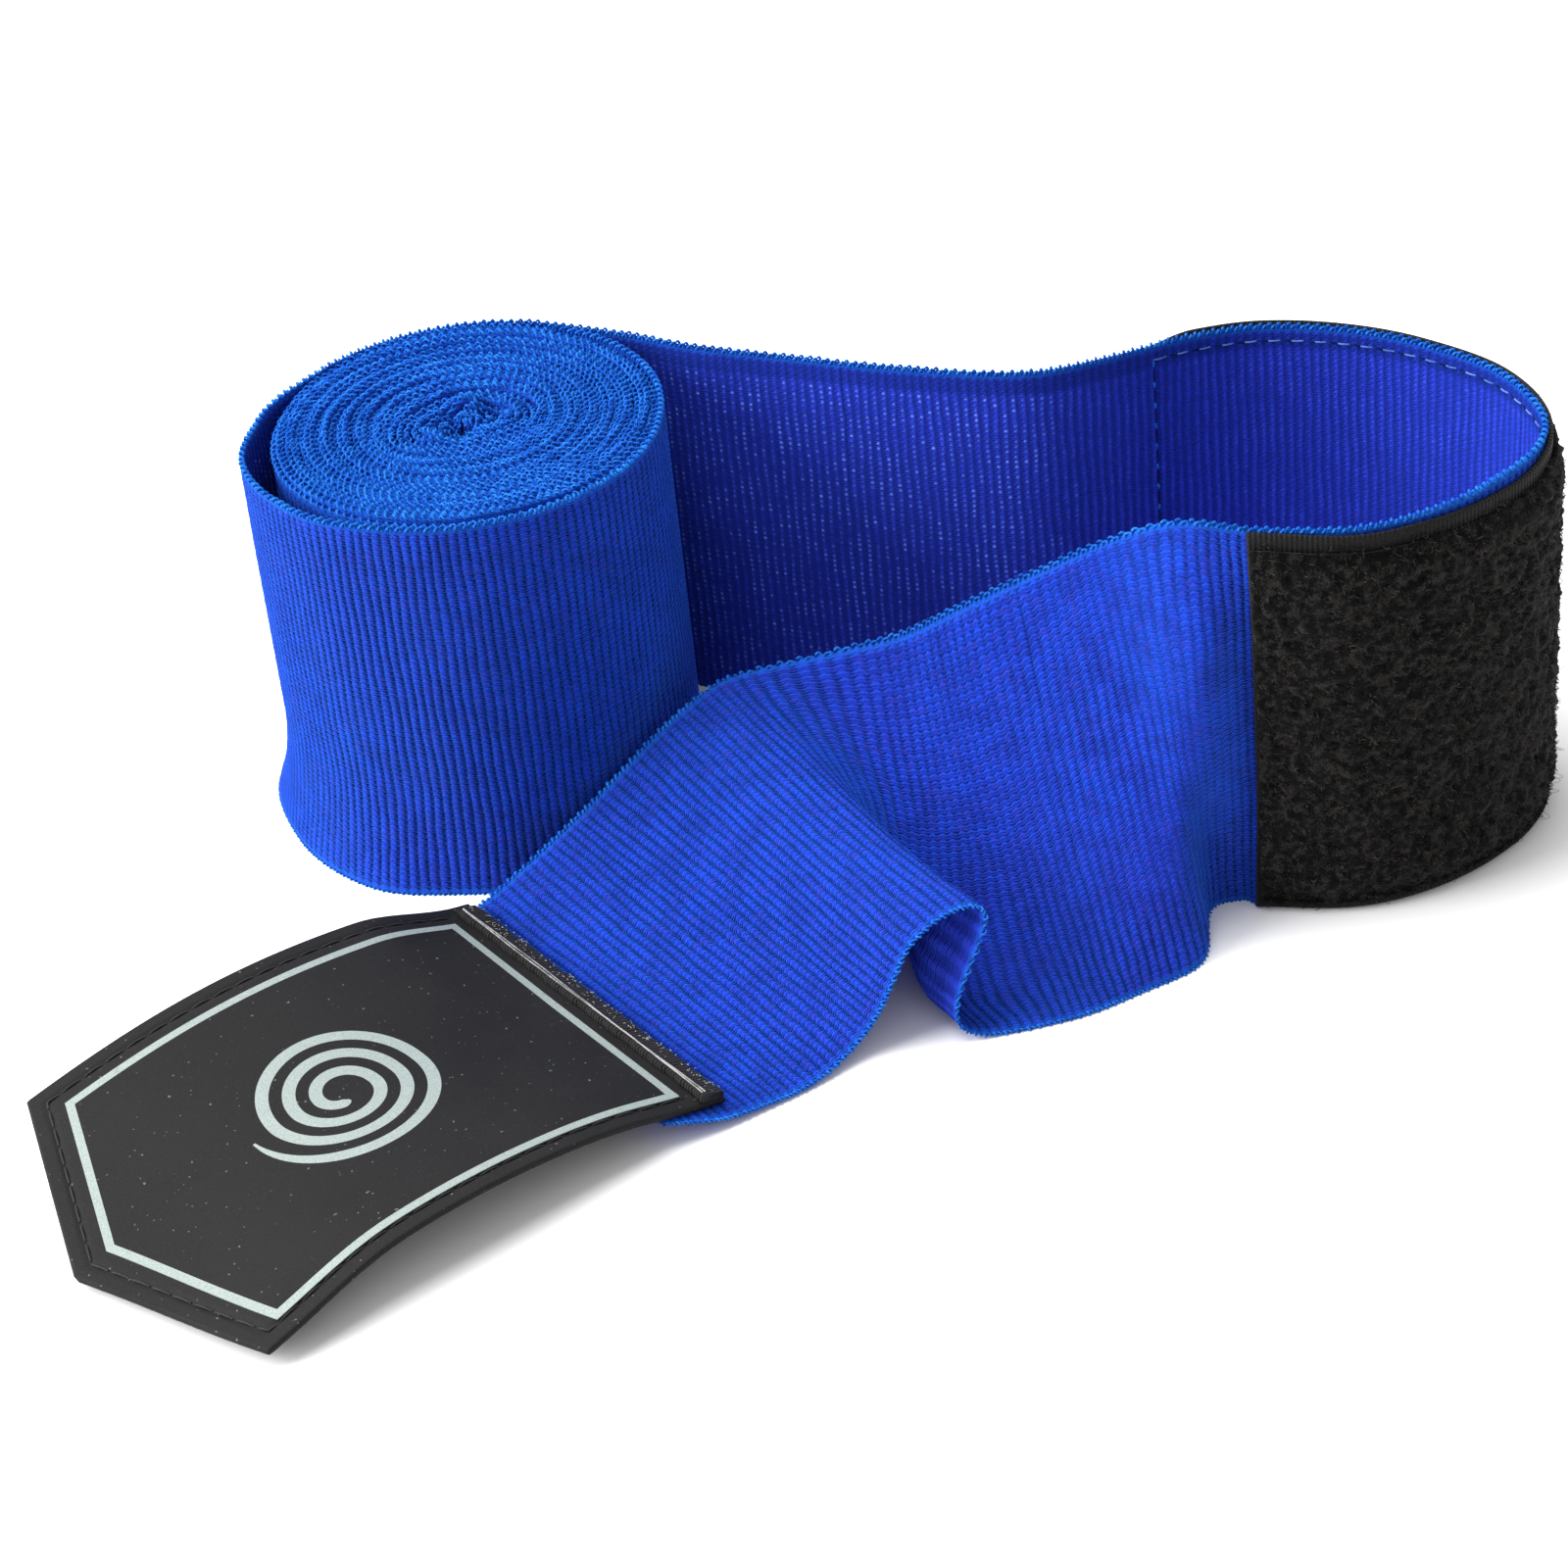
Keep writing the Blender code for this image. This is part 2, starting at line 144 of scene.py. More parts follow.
# The standing crest of cloth next to the patch: its place beyond the patch, its run-out and its size
CREST_AFTER = 7.0
CREST_RUN_OUT = 9.0
CREST_REACH = 4.8
CREST_RISE = 0.9

# Loop patch
GROUND_THICKNESS = 0.5
PILE_LOW, PILE_HIGH = 1.3, 47.8
FOOT_SPREAD = 1.3
HEAD_SPREAD = 0.6
SEAM_INSET = 3.0
UPPER_SEAM_INSET = 1.8
STITCH_PITCH = 2.8
LOOP_COUNT = 8600
STRAY_COUNT = 420
FUZZ_COUNT = 7600

# Thumb loop: a tape that runs up, turns over and runs down, with a bar tack round its foot
THUMB_HALF_GAP = 0.85
THUMB_HALF_WIDTH = 2.1
THUMB_FOOT, THUMB_TOP = 5.0, 43.0
TACK_LOW, TACK_HIGH = 7.2, 8.8
TACK_TURNS = 7

# Tab: s runs from the seam to the point, t across towards the far side
SEAM_CENTRE = (9.0, -51.1)
TAB_HEADING = math.radians(214.5)
TAB_HALF_WIDTH = 25.3
TAB_START = 0.5
TAB_SHOULDER = 60.0
TAB_LENGTH = 69.0
TAB_BASE_HEIGHT = 2.2
TAB_TIP_HEIGHT = 1.75
TAB_ARCH = 5.0
TAB_FAR_LEAN = 0.085
TAB_NEAR_LEAN = 0.035
FACE_THICKNESS = 0.9
HOOK_THICKNESS = 1.3
HOOK_START, HOOK_END = 9.6, 66.5
EDGE_SEAM_INSET = 2.2
EDGE_SEAM_START = 4.7
PRINT_TOP = 0.165
PRINT_FOOT = 0.03
BAND_DEPTH = 1.3
TAPER = (TAB_HALF_WIDTH - 0.6) / (TAB_LENGTH - TAB_SHOULDER)
BORDER_START = 5.0
BORDER_INSET = 4.1
BORDER_WIDTH = 1.0
NEAR_BORDER_REACH = 1.08
EMBLEM_CENTRE = 34.0
EMBLEM_RADIUS = 11.5
EMBLEM_EYE = 1.8
EMBLEM_TURNS = 3.25
EMBLEM_LINE = 1.5
# Mesh of the tab's layers: points along and across it, crowded towards its sides, with rounded rims
TAB_COLUMNS = 170
TAB_ROWS = 121
TAB_CROWDING = 0.92 * math.pi / 2
TAB_ROUNDING = 0.45
SPECK_COUNT = 150

# Studio
CAMERA_PLACE = (32.96, -426.93, 287.16)
CAMERA_PITCH = math.radians(34.534)
CAMERA_ROLL = math.radians(6.111)
CAMERA_LENS = 94.5
SENSOR_WIDTH = 36.0
SKY_STRENGTH = 0.72
FLOOR_REACH = 1.6
LAMP_TARGET = (0.0, 0.0, 0.02)
# Name, place, width in metres, power in watts
LAMPS = (
    ("key", (-0.95, -0.05, 0.50), 0.75, 20.0),
    ("top", (-0.25, 0.25, 1.05), 0.8, 13.5),
)


# ---------------------------------------------------------------- geometry helpers

def to_world(points):
    return np.asarray(points, float) * MM + ORIGIN


def stacked(*parts):
    """Points or vectors from their coordinates, each a number or an array."""
    return np.stack(np.broadcast_arrays(*parts), axis=-1)


def unit(vectors):
    return vectors / np.maximum(np.linalg.norm(vectors, axis=-1, keepdims=True), 1e-12)


def spline(points, steps):
    """Catmull-Rom curve through the points."""
    known = np.array(points, float)
    known = np.vstack([2 * known[0] - known[1], known, 2 * known[-1] - known[-2]])
    u = (np.arange(steps) / steps)[:, None]
    curve = []
    for a, b, c, d in zip(known, known[1:], known[2:], known[3:]):
        curve.append(0.5 * (2 * b + (c - a) * u + (2 * a - 5 * b + 4 * c - d) * u ** 2
                            + (3 * b - a - 3 * c + d) * u ** 3))
    return np.vstack(curve + [known[-2][None]])


def between(table, value):
    """Smooth interpolation in a table of (position, amount) pairs."""
    xs, ys = np.array(table, float).T
    value = np.clip(value, xs[0], xs[-1])
    i = np.clip(np.searchsorted(xs, value, side="right") - 1, 0, len(xs) - 2)
    u = (value - xs[i]) / (xs[i + 1] - xs[i])
    return ys[i] + (ys[i + 1] - ys[i]) * u * u * (3 - 2 * u)


def smoothstep(low, high, value):
    u = np.clip((value - low) / (high - low), 0.0, 1.0)
    return u * u * (3 - 2 * u)


def plateau(start, full, fading, end, value):
    """Rises from 0 at start to 1 at full, and falls again from fading to end."""
    return smoothstep(start, full, value) * smoothstep(end, fading, value)


def wobble(*waves):
    """Sum of sines: each wave is (amplitude, value / wavelength, phase)."""
    return sum(size * np.sin(FULL * (turn + phase)) for size, turn, phase in waves)


def add_object(name, data):
    item = bpy.data.objects.new(name, data)
    bpy.context.scene.collection.objects.link(item)
    return item


def mesh_object(name, points, faces, finish, weave=None, smooth=True):
    """A mesh from points in mm; weave holds (rib count, height in mm, side) for each point."""
    data = bpy.data.meshes.new(name)
    faces = np.asarray(faces, np.int32)
    points = np.array(points, float)
    low = points[:, 2] < FLOOR_EASE
    points[low, 2] = FLOOR_EASE * np.exp(points[low, 2] / FLOOR_EASE - 1.0)
    data.vertices.add(len(points))
    data.vertices.foreach_set("co", to_world(points).astype(np.float32).ravel())
    data.loops.add(faces.size)
    data.loops.foreach_set("vertex_index", faces.ravel())
    data.polygons.add(len(faces))
    data.polygons.foreach_set("loop_start", np.arange(0, faces.size, faces.shape[1], dtype=np.int32))
    data.update(calc_edges=True)
    data.validate()
    if weave is not None:
        layer = data.attributes.new("weave", "FLOAT_VECTOR", "POINT")
        layer.data.foreach_set("vector", np.asarray(weave, np.float32).ravel())
    data.polygons.foreach_set("use_smooth", np.full(len(data.polygons), smooth))
    data.materials.append(finish)
    return add_object(name, data)


def ring_faces(columns, around, closed=False):
    """Quads between successive rings of points; ring i holds points i * around onward."""
    i = np.arange(columns if closed else columns - 1)[:, None] * around
    j = np.arange(around)[None, :]
    ahead = (i + around) % (columns * around)
    beside = (j + 1) % around
    return np.stack([i + j, i + beside, ahead + beside, ahead + j], axis=-1).reshape(-1, 4)


def flat_caps(columns, around):
    """Quads that close the first and last ring of a ribbon whose halves lie over each other."""
    j = np.arange(around // 2 - 1)
    first = np.stack([j, j + 1, around - 2 - j, around - 1 - j], axis=-1)
    return np.vstack([first, first[:, ::-1] + (columns - 1) * around])


def sealed(name, ring, finish, weave, caps, inward=False):
    """A closed ribbon: rings of points along it, and a function that caps its two ends."""
    faces = np.vstack([ring_faces(*ring.shape[:2]), caps(*ring.shape[:2])])
    faces = faces[:, ::-1] if inward else faces
    return mesh_object(name, ring.reshape(-1, 3), faces, finish, weave.reshape(-1, 3))


def travelled(*parts):
    """Distance along a line at each of its points, from their coordinates."""
    return np.concatenate([[0.0], np.cumsum(np.sqrt(sum(np.diff(part) ** 2 for part in parts)))])


def yarn(name, strands, radius, sides, finish):
    """One mesh of many round strands; strands is (count, points, 3)."""
    count, length, _ = strands.shape
    along = unit(np.gradient(strands, axis=1))
    helper = np.where(np.abs(along[..., 2:]) > 0.9, (1.0, 0.0, 0.0), (0.0, 0.0, 1.0))
    side = unit(np.cross(along, helper))
    other = np.cross(along, side)
    angle = (FULL * np.arange(sides) / sides)[:, None]
    ring = (side[:, :, None] * np.cos(angle) + other[:, :, None] * np.sin(angle)) * radius
    points = (strands[:, :, None] + ring).reshape(-1, 3)
    faces = ring_faces(length, sides)[None] + (np.arange(count) * length * sides)[:, None, None]
    return mesh_object(name, points, faces.reshape(-1, 4), finish)


# ---------------------------------------------------------------- tab frame

ALONG = np.array([math.cos(TAB_HEADING), math.sin(TAB_HEADING), 0.0])
ACROSS = np.array([ALONG[1], -ALONG[0], 0.0])


def tab_height(s):
    share = s / TAB_LENGTH
    return TAB_BASE_HEIGHT + (TAB_TIP_HEIGHT - TAB_BASE_HEIGHT) * share + TAB_ARCH * np.sin(math.pi * share)


def tab_point(s, t, depth=0.0):
    """Points on the tab, at a depth below its upper face; s, t and depth may be arrays."""
    s, t, depth = np.broadcast_arrays(*(np.asarray(value, float) for value in (s, t, depth)))
    spread = smoothstep(40.0, 64.0, s) * smoothstep(0.0, -25.0, t)
    s = s + 0.6 * spread
    t = t - 0.5 * spread
    t = t + 0.5 * plateau(5.0, 20.0, 42.0, 58.0, s) * smoothstep(0.0, -25.0, t)
    slope = tab_height(s + 0.5) - tab_height(s - 0.5)
    normal = unit(stacked(-slope * ALONG[0], -slope * ALONG[1], 1.0))
    near_lean = TAB_NEAR_LEAN * smoothstep(44.0, 64.0, s) - 0.02 * plateau(3.0, 14.0, 40.0, 62.0, s)
    lean = np.where(t > 0.0, TAB_FAR_LEAN * smoothstep(2.0, 16.0, s), near_lean) * t
    centre = stacked(*SEAM_CENTRE, tab_height(s) + lean)
    return centre + ALONG * s[..., None] + ACROSS * t[..., None] - normal * depth[..., None]


# ---------------------------------------------------------------- band path

def loose_turn_edges():
    """Foot, head and flare of the loose outer turn, from the line where it meets the wound turns."""
    angle = np.arange(LEAVE_ANGLE + 360.0, LEAVE_ANGLE, -1.5)
    turn = (angle - LEAVE_ANGLE) / 360.0
    radius = LEAVE_RADIUS - (LOOSE_EXTRA + TURN_PITCH) * turn
    upper = between(UPPER_BULGE, angle)
    lower = between(LOWER_BULGE, angle)
    ray = stacked(np.cos(np.radians(angle)), np.sin(np.radians(angle)), 0.0)
    base = ray * (radius + upper)[:, None] + smoothstep(0.6, 1.0, turn)[:, None] * BLOCK_SHIFT
    return base, base + (0.0, 0.0, WIDTH), ray * (lower - upper)[:, None]


def band_path():
    """Foot, head and flare along the whole path, evenly spaced, with the distance along it in mm."""
    foot, head, flare = loose_turn_edges()
    angle = math.radians(LEAVE_ANGLE)
    leave = LEAVE_RADIUS * np.array([math.cos(angle), math.sin(angle)])
    plan = spline([leave] + list(BACK_RUN) + list(PATCH_BEND) + [PATCH_END], SPLINE_STEPS)
    low = stacked(*plan.T, 0.0)
    sewn = [[tab_point(s, t, BAND_DEPTH) for t in (WIDTH / 2, -WIDTH / 2 - overhang)]
            for s, overhang in SEWN_OVERHANG]
    far, near = (spline(edge, SPLINE_STEPS) for edge in zip(*FRONT_RUN, *sewn))
    foot = np.vstack([foot, low[:-1], near])
    head = np.vstack([head, low[:-1] + (0.0, 0.0, WIDTH), far])
    flare = np.vstack([flare, np.zeros((len(foot) - len(flare), 3))])
    path = np.hstack([foot, head, flare])
    middle = (path[:, 0:3] + path[:, 3:6]) / 2
    step = np.linalg.norm(np.diff(middle, axis=0), axis=1)
    keep = np.concatenate([[True], step > 1e-6])
    path = path[keep]
    distance = travelled(*middle[keep].T)
    even = np.arange(0.0, distance[-1], PATH_STEP)
    path = np.column_stack([np.interp(even, distance, column) for column in path.T])
    return even, smoothed(path, 5)


def smoothed(path, sigma):
    """Gaussian smoothing along the path, which leaves its ends in place."""
    reach = 3 * sigma
    kernel = np.exp(-0.5 * (np.arange(-reach, reach + 1) / sigma) ** 2)
    kernel /= kernel.sum()
    before = 2 * path[0] - path[reach:0:-1]
    after = 2 * path[-1] - path[-2:-reach - 2:-1]
    padded = np.vstack([before, path, after])
    return np.column_stack([np.convolve(column, kernel, mode="valid") for column in padded.T])


DISTANCE, PATH = band_path()
PLAN = (PATH[:, 0:2] + PATH[:, 3:5]) / 2


def distance_at(point, start=0.0):
    """Distance along the path of the place nearest to a plan point, beyond a start."""
    near = np.linalg.norm(PLAN - np.asarray(point)[:2], axis=1)
    near[DISTANCE < start] = 1e9
    return DISTANCE[int(np.argmin(near))]


VALLEY = distance_at((51.0, -42.0), 250.0)
LEAVE = distance_at(BACK_RUN[0], 100.0) - 9.0
PATCH_FROM = distance_at(PATCH_START, LEAVE)
PATCH_TO = distance_at(PATCH_END, PATCH_FROM + 40.0)
SEAM = DISTANCE[-1] - SEWN_LENGTH
CREST = PATCH_TO + CREST_AFTER


def spread_edges():
    """The head leans out at the U's apex; from there to the patch's front end the foot stands outside it."""
    travel = unit(np.gradient(PLAN, axis=0))
    outward = stacked(-travel[:, 1], travel[:, 0])
    head_lean = plateau(34.0, 48.0, 60.0, 74.0, DISTANCE - PATCH_FROM)
    foot_lean = plateau(PATCH_FROM + 54.0, PATCH_FROM + 70.0, PATCH_TO, PATCH_TO + 2.0, DISTANCE)
    PATH[:, 3:5] += HEAD_SPREAD * head_lean[:, None] * outward
    PATH[:, 6:8] += FOOT_SPREAD * foot_lean[:, None] * outward


spread_edges()


def sheet_points(distance, across):
    """Middle surface of the band at distances along it and heights across it (arrays of one shape)."""
    values = [np.interp(distance, DISTANCE, column) for column in PATH.T]
    foot, head, flare = (stacked(*values[i:i + 3]) for i in (0, 3, 6))
    share = across / WIDTH
    curl = np.clip(1.0 - across / FLARE_HEIGHT, 0.0, 1.0)[..., None] ** 1.6
    middle = foot + (head - foot) * share[..., None] + flare * curl
    slack = plateau(-26.0, -6.0, 6.0, 40.0, distance - VALLEY)
    middle[..., 2] -= slack * (head - foot)[..., 2] * (share - share ** 2.3)
    pulled = plateau(-9.0, 0.0, 5.0, 16.0, distance - VALLEY)
    middle[..., 0] -= 2.5 * pulled * plateau(0.0, 0.16, 0.3, 0.7, share)
    crest = plateau(PATCH_TO - 0.5, CREST, CREST, CREST + CREST_RUN_OUT, distance)
    forward = smoothstep(0.1, 0.5, share) * (1.0 - 0.68 * smoothstep(0.7, 1.0, share))
    middle[..., 1] -= CREST_REACH * crest * forward
    middle[..., 2] += CREST_RISE * crest * smoothstep(0.8, 1.0, share)
    return middle


def rib_wander(distance, across):
    """How far a rib strays from straight."""
    return wobble((0.11, distance / 43.0 + across / 71.0, 0.1), (0.06, distance / 19.0 - across / 31.0, 0.6),
                  (0.05, distance / 11.3 + across / 14.0, 0.35), (0.04, distance / 4.3 - across / 7.0, 0.8))


def rib_distance(rib, across):
    """Distance along the band of points on its ribs, which run straight at both ends of the band."""
    fade = plateau(0.0, 6.0, DISTANCE[-1] - 6.0, DISTANCE[-1], rib * RIB)
    return rib * RIB + rib_wander(rib * RIB, across) * fade


def heading(distance, across):
    """Direction in which the band travels."""
    return unit(sheet_points(distance + REACH, across) - sheet_points(distance - REACH, across))


def flat_edge(across):
    """1 over the width of the band, 0 at both selvedges."""
    return plateau(0.0, 1.6, WIDTH - 1.6, WIDTH, across)


def round_sheet(edge, outside, inside):
    """Rings round a thin sheet: its foot, its outer side upward, its head, its inner side downward."""
    return np.concatenate([edge[:, :1], outside[:, 1:-1], edge[:, -1:], inside[:, -2:0:-1]], axis=1)


def rib_profile(phase):
    return np.abs(np.sin(math.pi * phase)) ** 0.85


def knit_piece(name, start_rib, end_rib):
    """A closed, ribbed stretch of the band between two rib valleys."""
    phase = (np.arange(start_rib, end_rib)[:, None] + np.array(RIB_STEPS)[None]).ravel()
    phase = np.append(phase, float(end_rib))
    across = np.concatenate([[0.0, 0.35], np.linspace(0.9, WIDTH - 0.9, ROWS - 4), [WIDTH - 0.35, WIDTH]])
    a, w = np.meshgrid(phase, across, indexing="ij")
    distance = rib_distance(a, w)
    middle = sheet_points(distance, w)
    up = unit(np.gradient(middle, axis=1))
    normal = unit(np.cross(up, heading(distance, w)))
    ridge = rib_profile(a)
    calm = ridge * flat_edge(w)
    deep = strength(a, w)
    stitch = 0.02 * np.sin(FULL * w / 2.1 + a * 1.7)
    outside = middle + normal * (HALF_THICKNESS + OUTER_RELIEF * (calm * deep - 0.35) + stitch)[..., None]
    inside = middle - normal * (HALF_THICKNESS + INNER_RELIEF * (calm - 0.35) - stitch)[..., None]
    edge = middle + up * ((0.22 * ridge - 0.1) * np.sign(w - WIDTH / 2))[..., None]
    sides = [stacked(a, w, side) for side in (0.5, 0.75 + 0.25 * deep, 0.0)]
    return sealed(name, round_sheet(edge, outside, inside), KNIT, round_sheet(*sides), edge_caps)


def edge_caps(columns, around):
    """Closes the first and last ring of a ribbon: point 0 is its foot and point around / 2 its head."""
    half = around // 2
    j = np.arange(half)
    first = np.stack([j, (around - j) % around, (around - j - 1) % around, j + 1], axis=-1)
    first[0] = (0, around - 1, 1, 1)
    first[-1] = (half - 1, half + 1, half, half)
    return np.vstack([triangle_safe(first), triangle_safe(first[:, ::-1] + (columns - 1) * around)])


def triangle_safe(quads):
    """The quads that have four different corners."""
    return quads[[len(set(quad)) == 4 for quad in quads.tolist()]]


def strength(a, w):
    """How deep the ribs are: they fade in patches, and where the twisted stretch is pulled flat."""
    distance = a * RIB
    patches = 0.5 + wobble((0.22, distance / 37.0 + w / 53.0, 0.3), (0.18, distance / 21.0 - w / 29.0, 0.75),
                           (0.12, distance / 13.0 + w / 15.0, 0.1))
    flat = plateau(PATCH_TO - 2.0, PATCH_TO + 6.0, SEAM - 50.0, SEAM - 32.0, distance)
    return np.clip(0.75 + 0.5 * patches - 0.6 * flat * smoothstep(4.0, 14.0, w), 0.2, 1.0)


# ---------------------------------------------------------------- materials

WHITE = (1.0, 1.0, 1.0, 1.0)
BLUE_SHEEN = (0.0, 0.34, 1.0, 1.0)


class Value:
    """The output of a shader node, which takes part in sums like a number."""

    def __init__(self, finish, socket):
        self.finish = finish
        self.socket = socket

    def math(self, operation, *others):
        return self.finish.node("ShaderNodeMath", dict(enumerate((self, *others))), operation=operation)

    def __add__(self, other):
        return self.math("ADD", other)

    def __sub__(self, other):
        return self.math("SUBTRACT", other)

    def __mul__(self, other):
        return self.math("MULTIPLY", other)

    def __truediv__(self, other):
        return self.math("DIVIDE", other)

    def __abs__(self):
        return self.math("ABSOLUTE")

    def saw(self):
        """0 at each half number, 0.5 at each whole number."""
        return abs(self.math("FRACT") - 0.5)

    def ramp(self, low, high, start=0.0, end=1.0):
        """Smooth step from start to end, while this value goes from low to high."""
        inputs = {"Value": self, "From Min": low, "From Max": high, "To Min": start, "To Max": end}
        return self.finish.node("ShaderNodeMapRange", inputs, interpolation_type="SMOOTHSTEP")


class Finish:
    """A Principled material with short calls for its nodes."""

    def __init__(self, name, **sockets):
        self.material = bpy.data.materials.new(name)
        self.material.use_nodes = True
        self.tree = self.material.node_tree
        self.shader = self.tree.nodes["Principled BSDF"]
        for socket, value in sockets.items():
            self.shader.inputs[socket.replace("_", " ")].default_value = value

    def node(self, kind, inputs, output=0, **settings):
        """Makes a node, sets or links its inputs, and gives one of its outputs."""
        made = self.tree.nodes.new(kind)
        for key, value in settings.items():
            setattr(made, key, value)
        for key, value in inputs.items():
            self.feed(made.inputs[key], value)
        return Value(self, made.outputs[output])

    def feed(self, target, value):
        if isinstance(value, Value):
            self.tree.links.new(value.socket, target)
        else:
            target.default_value = value

    def look(self, socket, value):
        self.feed(self.shader.inputs[socket], value)

    def mix(self, factor, first, second):
        tones = [tone if isinstance(tone, Value) else (*tone, 1.0) for tone in (first, second)]
        return self.node("ShaderNodeMix", {0: factor, 6: tones[0], 7: tones[1]}, 2, data_type="RGBA")

    def noise(self, scale, detail=2.0, roughness=0.5):
        place = self.node("ShaderNodeTexCoord", {}, "Object")
        inputs = {"Scale": scale, "Detail": detail, "Roughness": roughness, "Vector": place}
        return self.node("ShaderNodeTexNoise", inputs)

    def weave(self):
        """(rib count, height in mm, side) of the cloth."""
        split = self.tree.nodes.new("ShaderNodeSeparateXYZ")
        self.feed(split.inputs[0], self.node("ShaderNodeAttribute", {}, "Vector", attribute_name="weave"))
        return [Value(self, output) for output in split.outputs]

    def cell(self, x, y):
        """A random number for each whole-number cell."""
        corner = self.node("ShaderNodeCombineXYZ", {0: x.math("FLOOR"), 1: y.math("FLOOR")})
        return self.node("ShaderNodeTexWhiteNoise", {"Vector": corner}, "Value", noise_dimensions="2D")

    def bump(self, height, distance, strength=1.0):
        inputs = {"Distance": distance, "Strength": strength, "Height": height}
        self.look("Normal", self.node("ShaderNodeBump", inputs))


def knit_finish():
    """Ribbed cotton knit: painted shade in the rib valleys, stitch rows, pale dots of painted light coming
    through pinholes on the inner side, fuzz sheen.
    """
    made = Finish("knit_blue", Roughness=0.9, Sheen_Weight=0.55, Sheen_Roughness=0.35,
                  Sheen_Tint=(0.02, 0.27, 1.0, 1.0), Specular_IOR_Level=0.09)
    rib, height, side = made.weave()
    row = height / STITCH
    off_centre = rib.saw() * 2.0
    fibre = made.noise(5200.0, 3.0, 0.7)
    patchy = made.noise(300.0, 3.0)
    broad = made.noise(38.0)
    grain = made.noise(1500.0)
    uneven = grain - 0.5
    lean = off_centre * 0.45
    stitch = (row * 2.0 + lean).saw().ramp(0.12, 0.5)
    course = (row + grain * 0.5 + lean).saw().ramp(0.22, 0.48)
    # outer side: ridges of stitches with painted shade in the rib valleys between them, with uneven rims;
    # where the ribs are shallow an even share of that painted shade is added
    rim = off_centre + stitch * 0.16 + uneven * 0.7
    bead = row.saw() * 2.0 + uneven * 1.6
    painted_valley_shade = rim.ramp(0.40, 0.98) * side.ramp(0.78, 1.0, 0.3, 1.0) * bead.ramp(0.15, 0.85, 0.62, 1.0)
    painted_valley_shade = painted_valley_shade + side.ramp(0.78, 1.0, 0.17, 0.0)
    outer = made.mix(patchy.ramp(0.35, 0.65), (0.0115, 0.036, 0.43), (0.0130, 0.060, 0.66))
    for factor, tone in (
        (broad.ramp(0.35, 0.65, 0.0, 0.35), (0.020, 0.036, 0.48)),
        # painted shade of the rib valleys
        (painted_valley_shade, (0.0016, 0.0042, 0.10)),
        (stitch * 0.5, (0.005, 0.012, 0.20)),
        (course * 0.5, (0.004, 0.009, 0.16)),
        (made.noise(900.0, 3.0).ramp(0.52, 0.68, 0.0, 0.5), (0.026, 0.030, 0.36)),
        (fibre.ramp(0.54, 0.74, 0.0, 0.6), (0.020, 0.12, 0.80)),
    ):
        outer = made.mix(factor, outer, tone)
    # inner side: pale columns on a dark ground, with pale dots of painted light, as if shining through
    # pinholes, on the stretch before the patch
    column = (off_centre + uneven * 0.5).ramp(0.62, 0.22) * patchy.ramp(0.3, 0.7, 0.45, 1.0)
    dot_x = rib.math("FRACT") - 0.5
    dot_y = row.math("FRACT") - 0.5
    far = (dot_x * dot_x * 2.4 + dot_y * dot_y).math("SQRT")
    chance = made.cell(rib, row)
    painted_light_dots = far.ramp(0.38, 0.12) * patchy.ramp(0.35, 0.62, 0.35, 1.0) * (chance * chance)
    painted_light_dots = painted_light_dots * height.ramp(2.2, 3.4) * height.ramp(47.4, 46.4)
    painted_light_dots = painted_light_dots * rib.ramp(PATCH_FROM / RIB - 6.0, PATCH_FROM / RIB - 16.0, 0.12, 1.0)
    inner = made.mix(column, (0.0135, 0.026, 0.38), (0.025, 0.050, 0.60))
    # painted light through the pinholes, in pale blue
    inner = made.mix(painted_light_dots, inner, (0.16, 0.30, 0.95))
    inner = made.mix(height.ramp(46.8, 47.6) * 0.6, inner, (0.004, 0.014, 0.20))
    base = made.mix(side.ramp(0.35, 0.6), inner, outer)
    edge = abs(height - WIDTH / 2).ramp(24.0, 24.7, 0.0, 0.7)
    made.look("Base Color", made.mix(edge, base, (0.012, 0.10, 0.60)))
    made.look("Sheen Weight", side.ramp(0.35, 0.6, 0.2, 0.55))
    made.bump(stitch * -0.5 + course * -0.7 + fibre * 0.7 - painted_valley_shade * 0.5, 0.00022)
    return made.material


def thread_finish(name, colour, light, roughness=0.75, sheen=0.3, tint=WHITE, gloss=0.3):
    """Twisted yarn with fibre speckle."""
    made = Finish(name, Roughness=roughness, Sheen_Weight=sheen, Sheen_Roughness=0.5, Sheen_Tint=tint,
                  Specular_IOR_Level=gloss)
    fibre = made.noise(4200.0, 2.0, 0.7)
    tone = fibre * 0.5 + made.noise(420.0) * 0.5
    made.look("Base Color", made.mix(tone.ramp(0.38, 0.62), colour, light))
    made.bump(fibre, 0.00008)
    return made.material


def tape_finish():
    """Woven black tape: fine ribs across its length."""
    made = Finish("woven_tape", Roughness=0.7, Sheen_Weight=0.06, Sheen_Roughness=0.4,
                  Specular_IOR_Level=0.16)
    rib, height, _ = made.weave()
    warp = (rib * FULL).math("SINE")
    knots = warp * (height * (FULL / 0.35)).math("SINE")
    tone = knots * 0.25 + made.noise(4000.0)
    made.look("Base Color", made.mix(tone.ramp(0.2, 0.9), (0.0015, 0.0015, 0.0017), (0.012, 0.011, 0.012)))
    made.bump(warp * 0.5 + knots * 0.3, 0.0001)
    return made.material


def pile_finish(name, dark, light):
    """Brushed loop pile, brownish black."""
    made = Finish(name, Roughness=0.85, Sheen_Weight=0.05, Sheen_Roughness=0.4, Specular_IOR_Level=0.12)
    fibre = made.noise(3600.0)
    tone = made.noise(1000.0, 3.0, 0.6) * 0.65 + fibre * 0.35
    made.look("Base Color", made.mix(tone.ramp(0.46, 0.60), dark, light))
    made.bump(fibre, 0.0002)
    return made.material


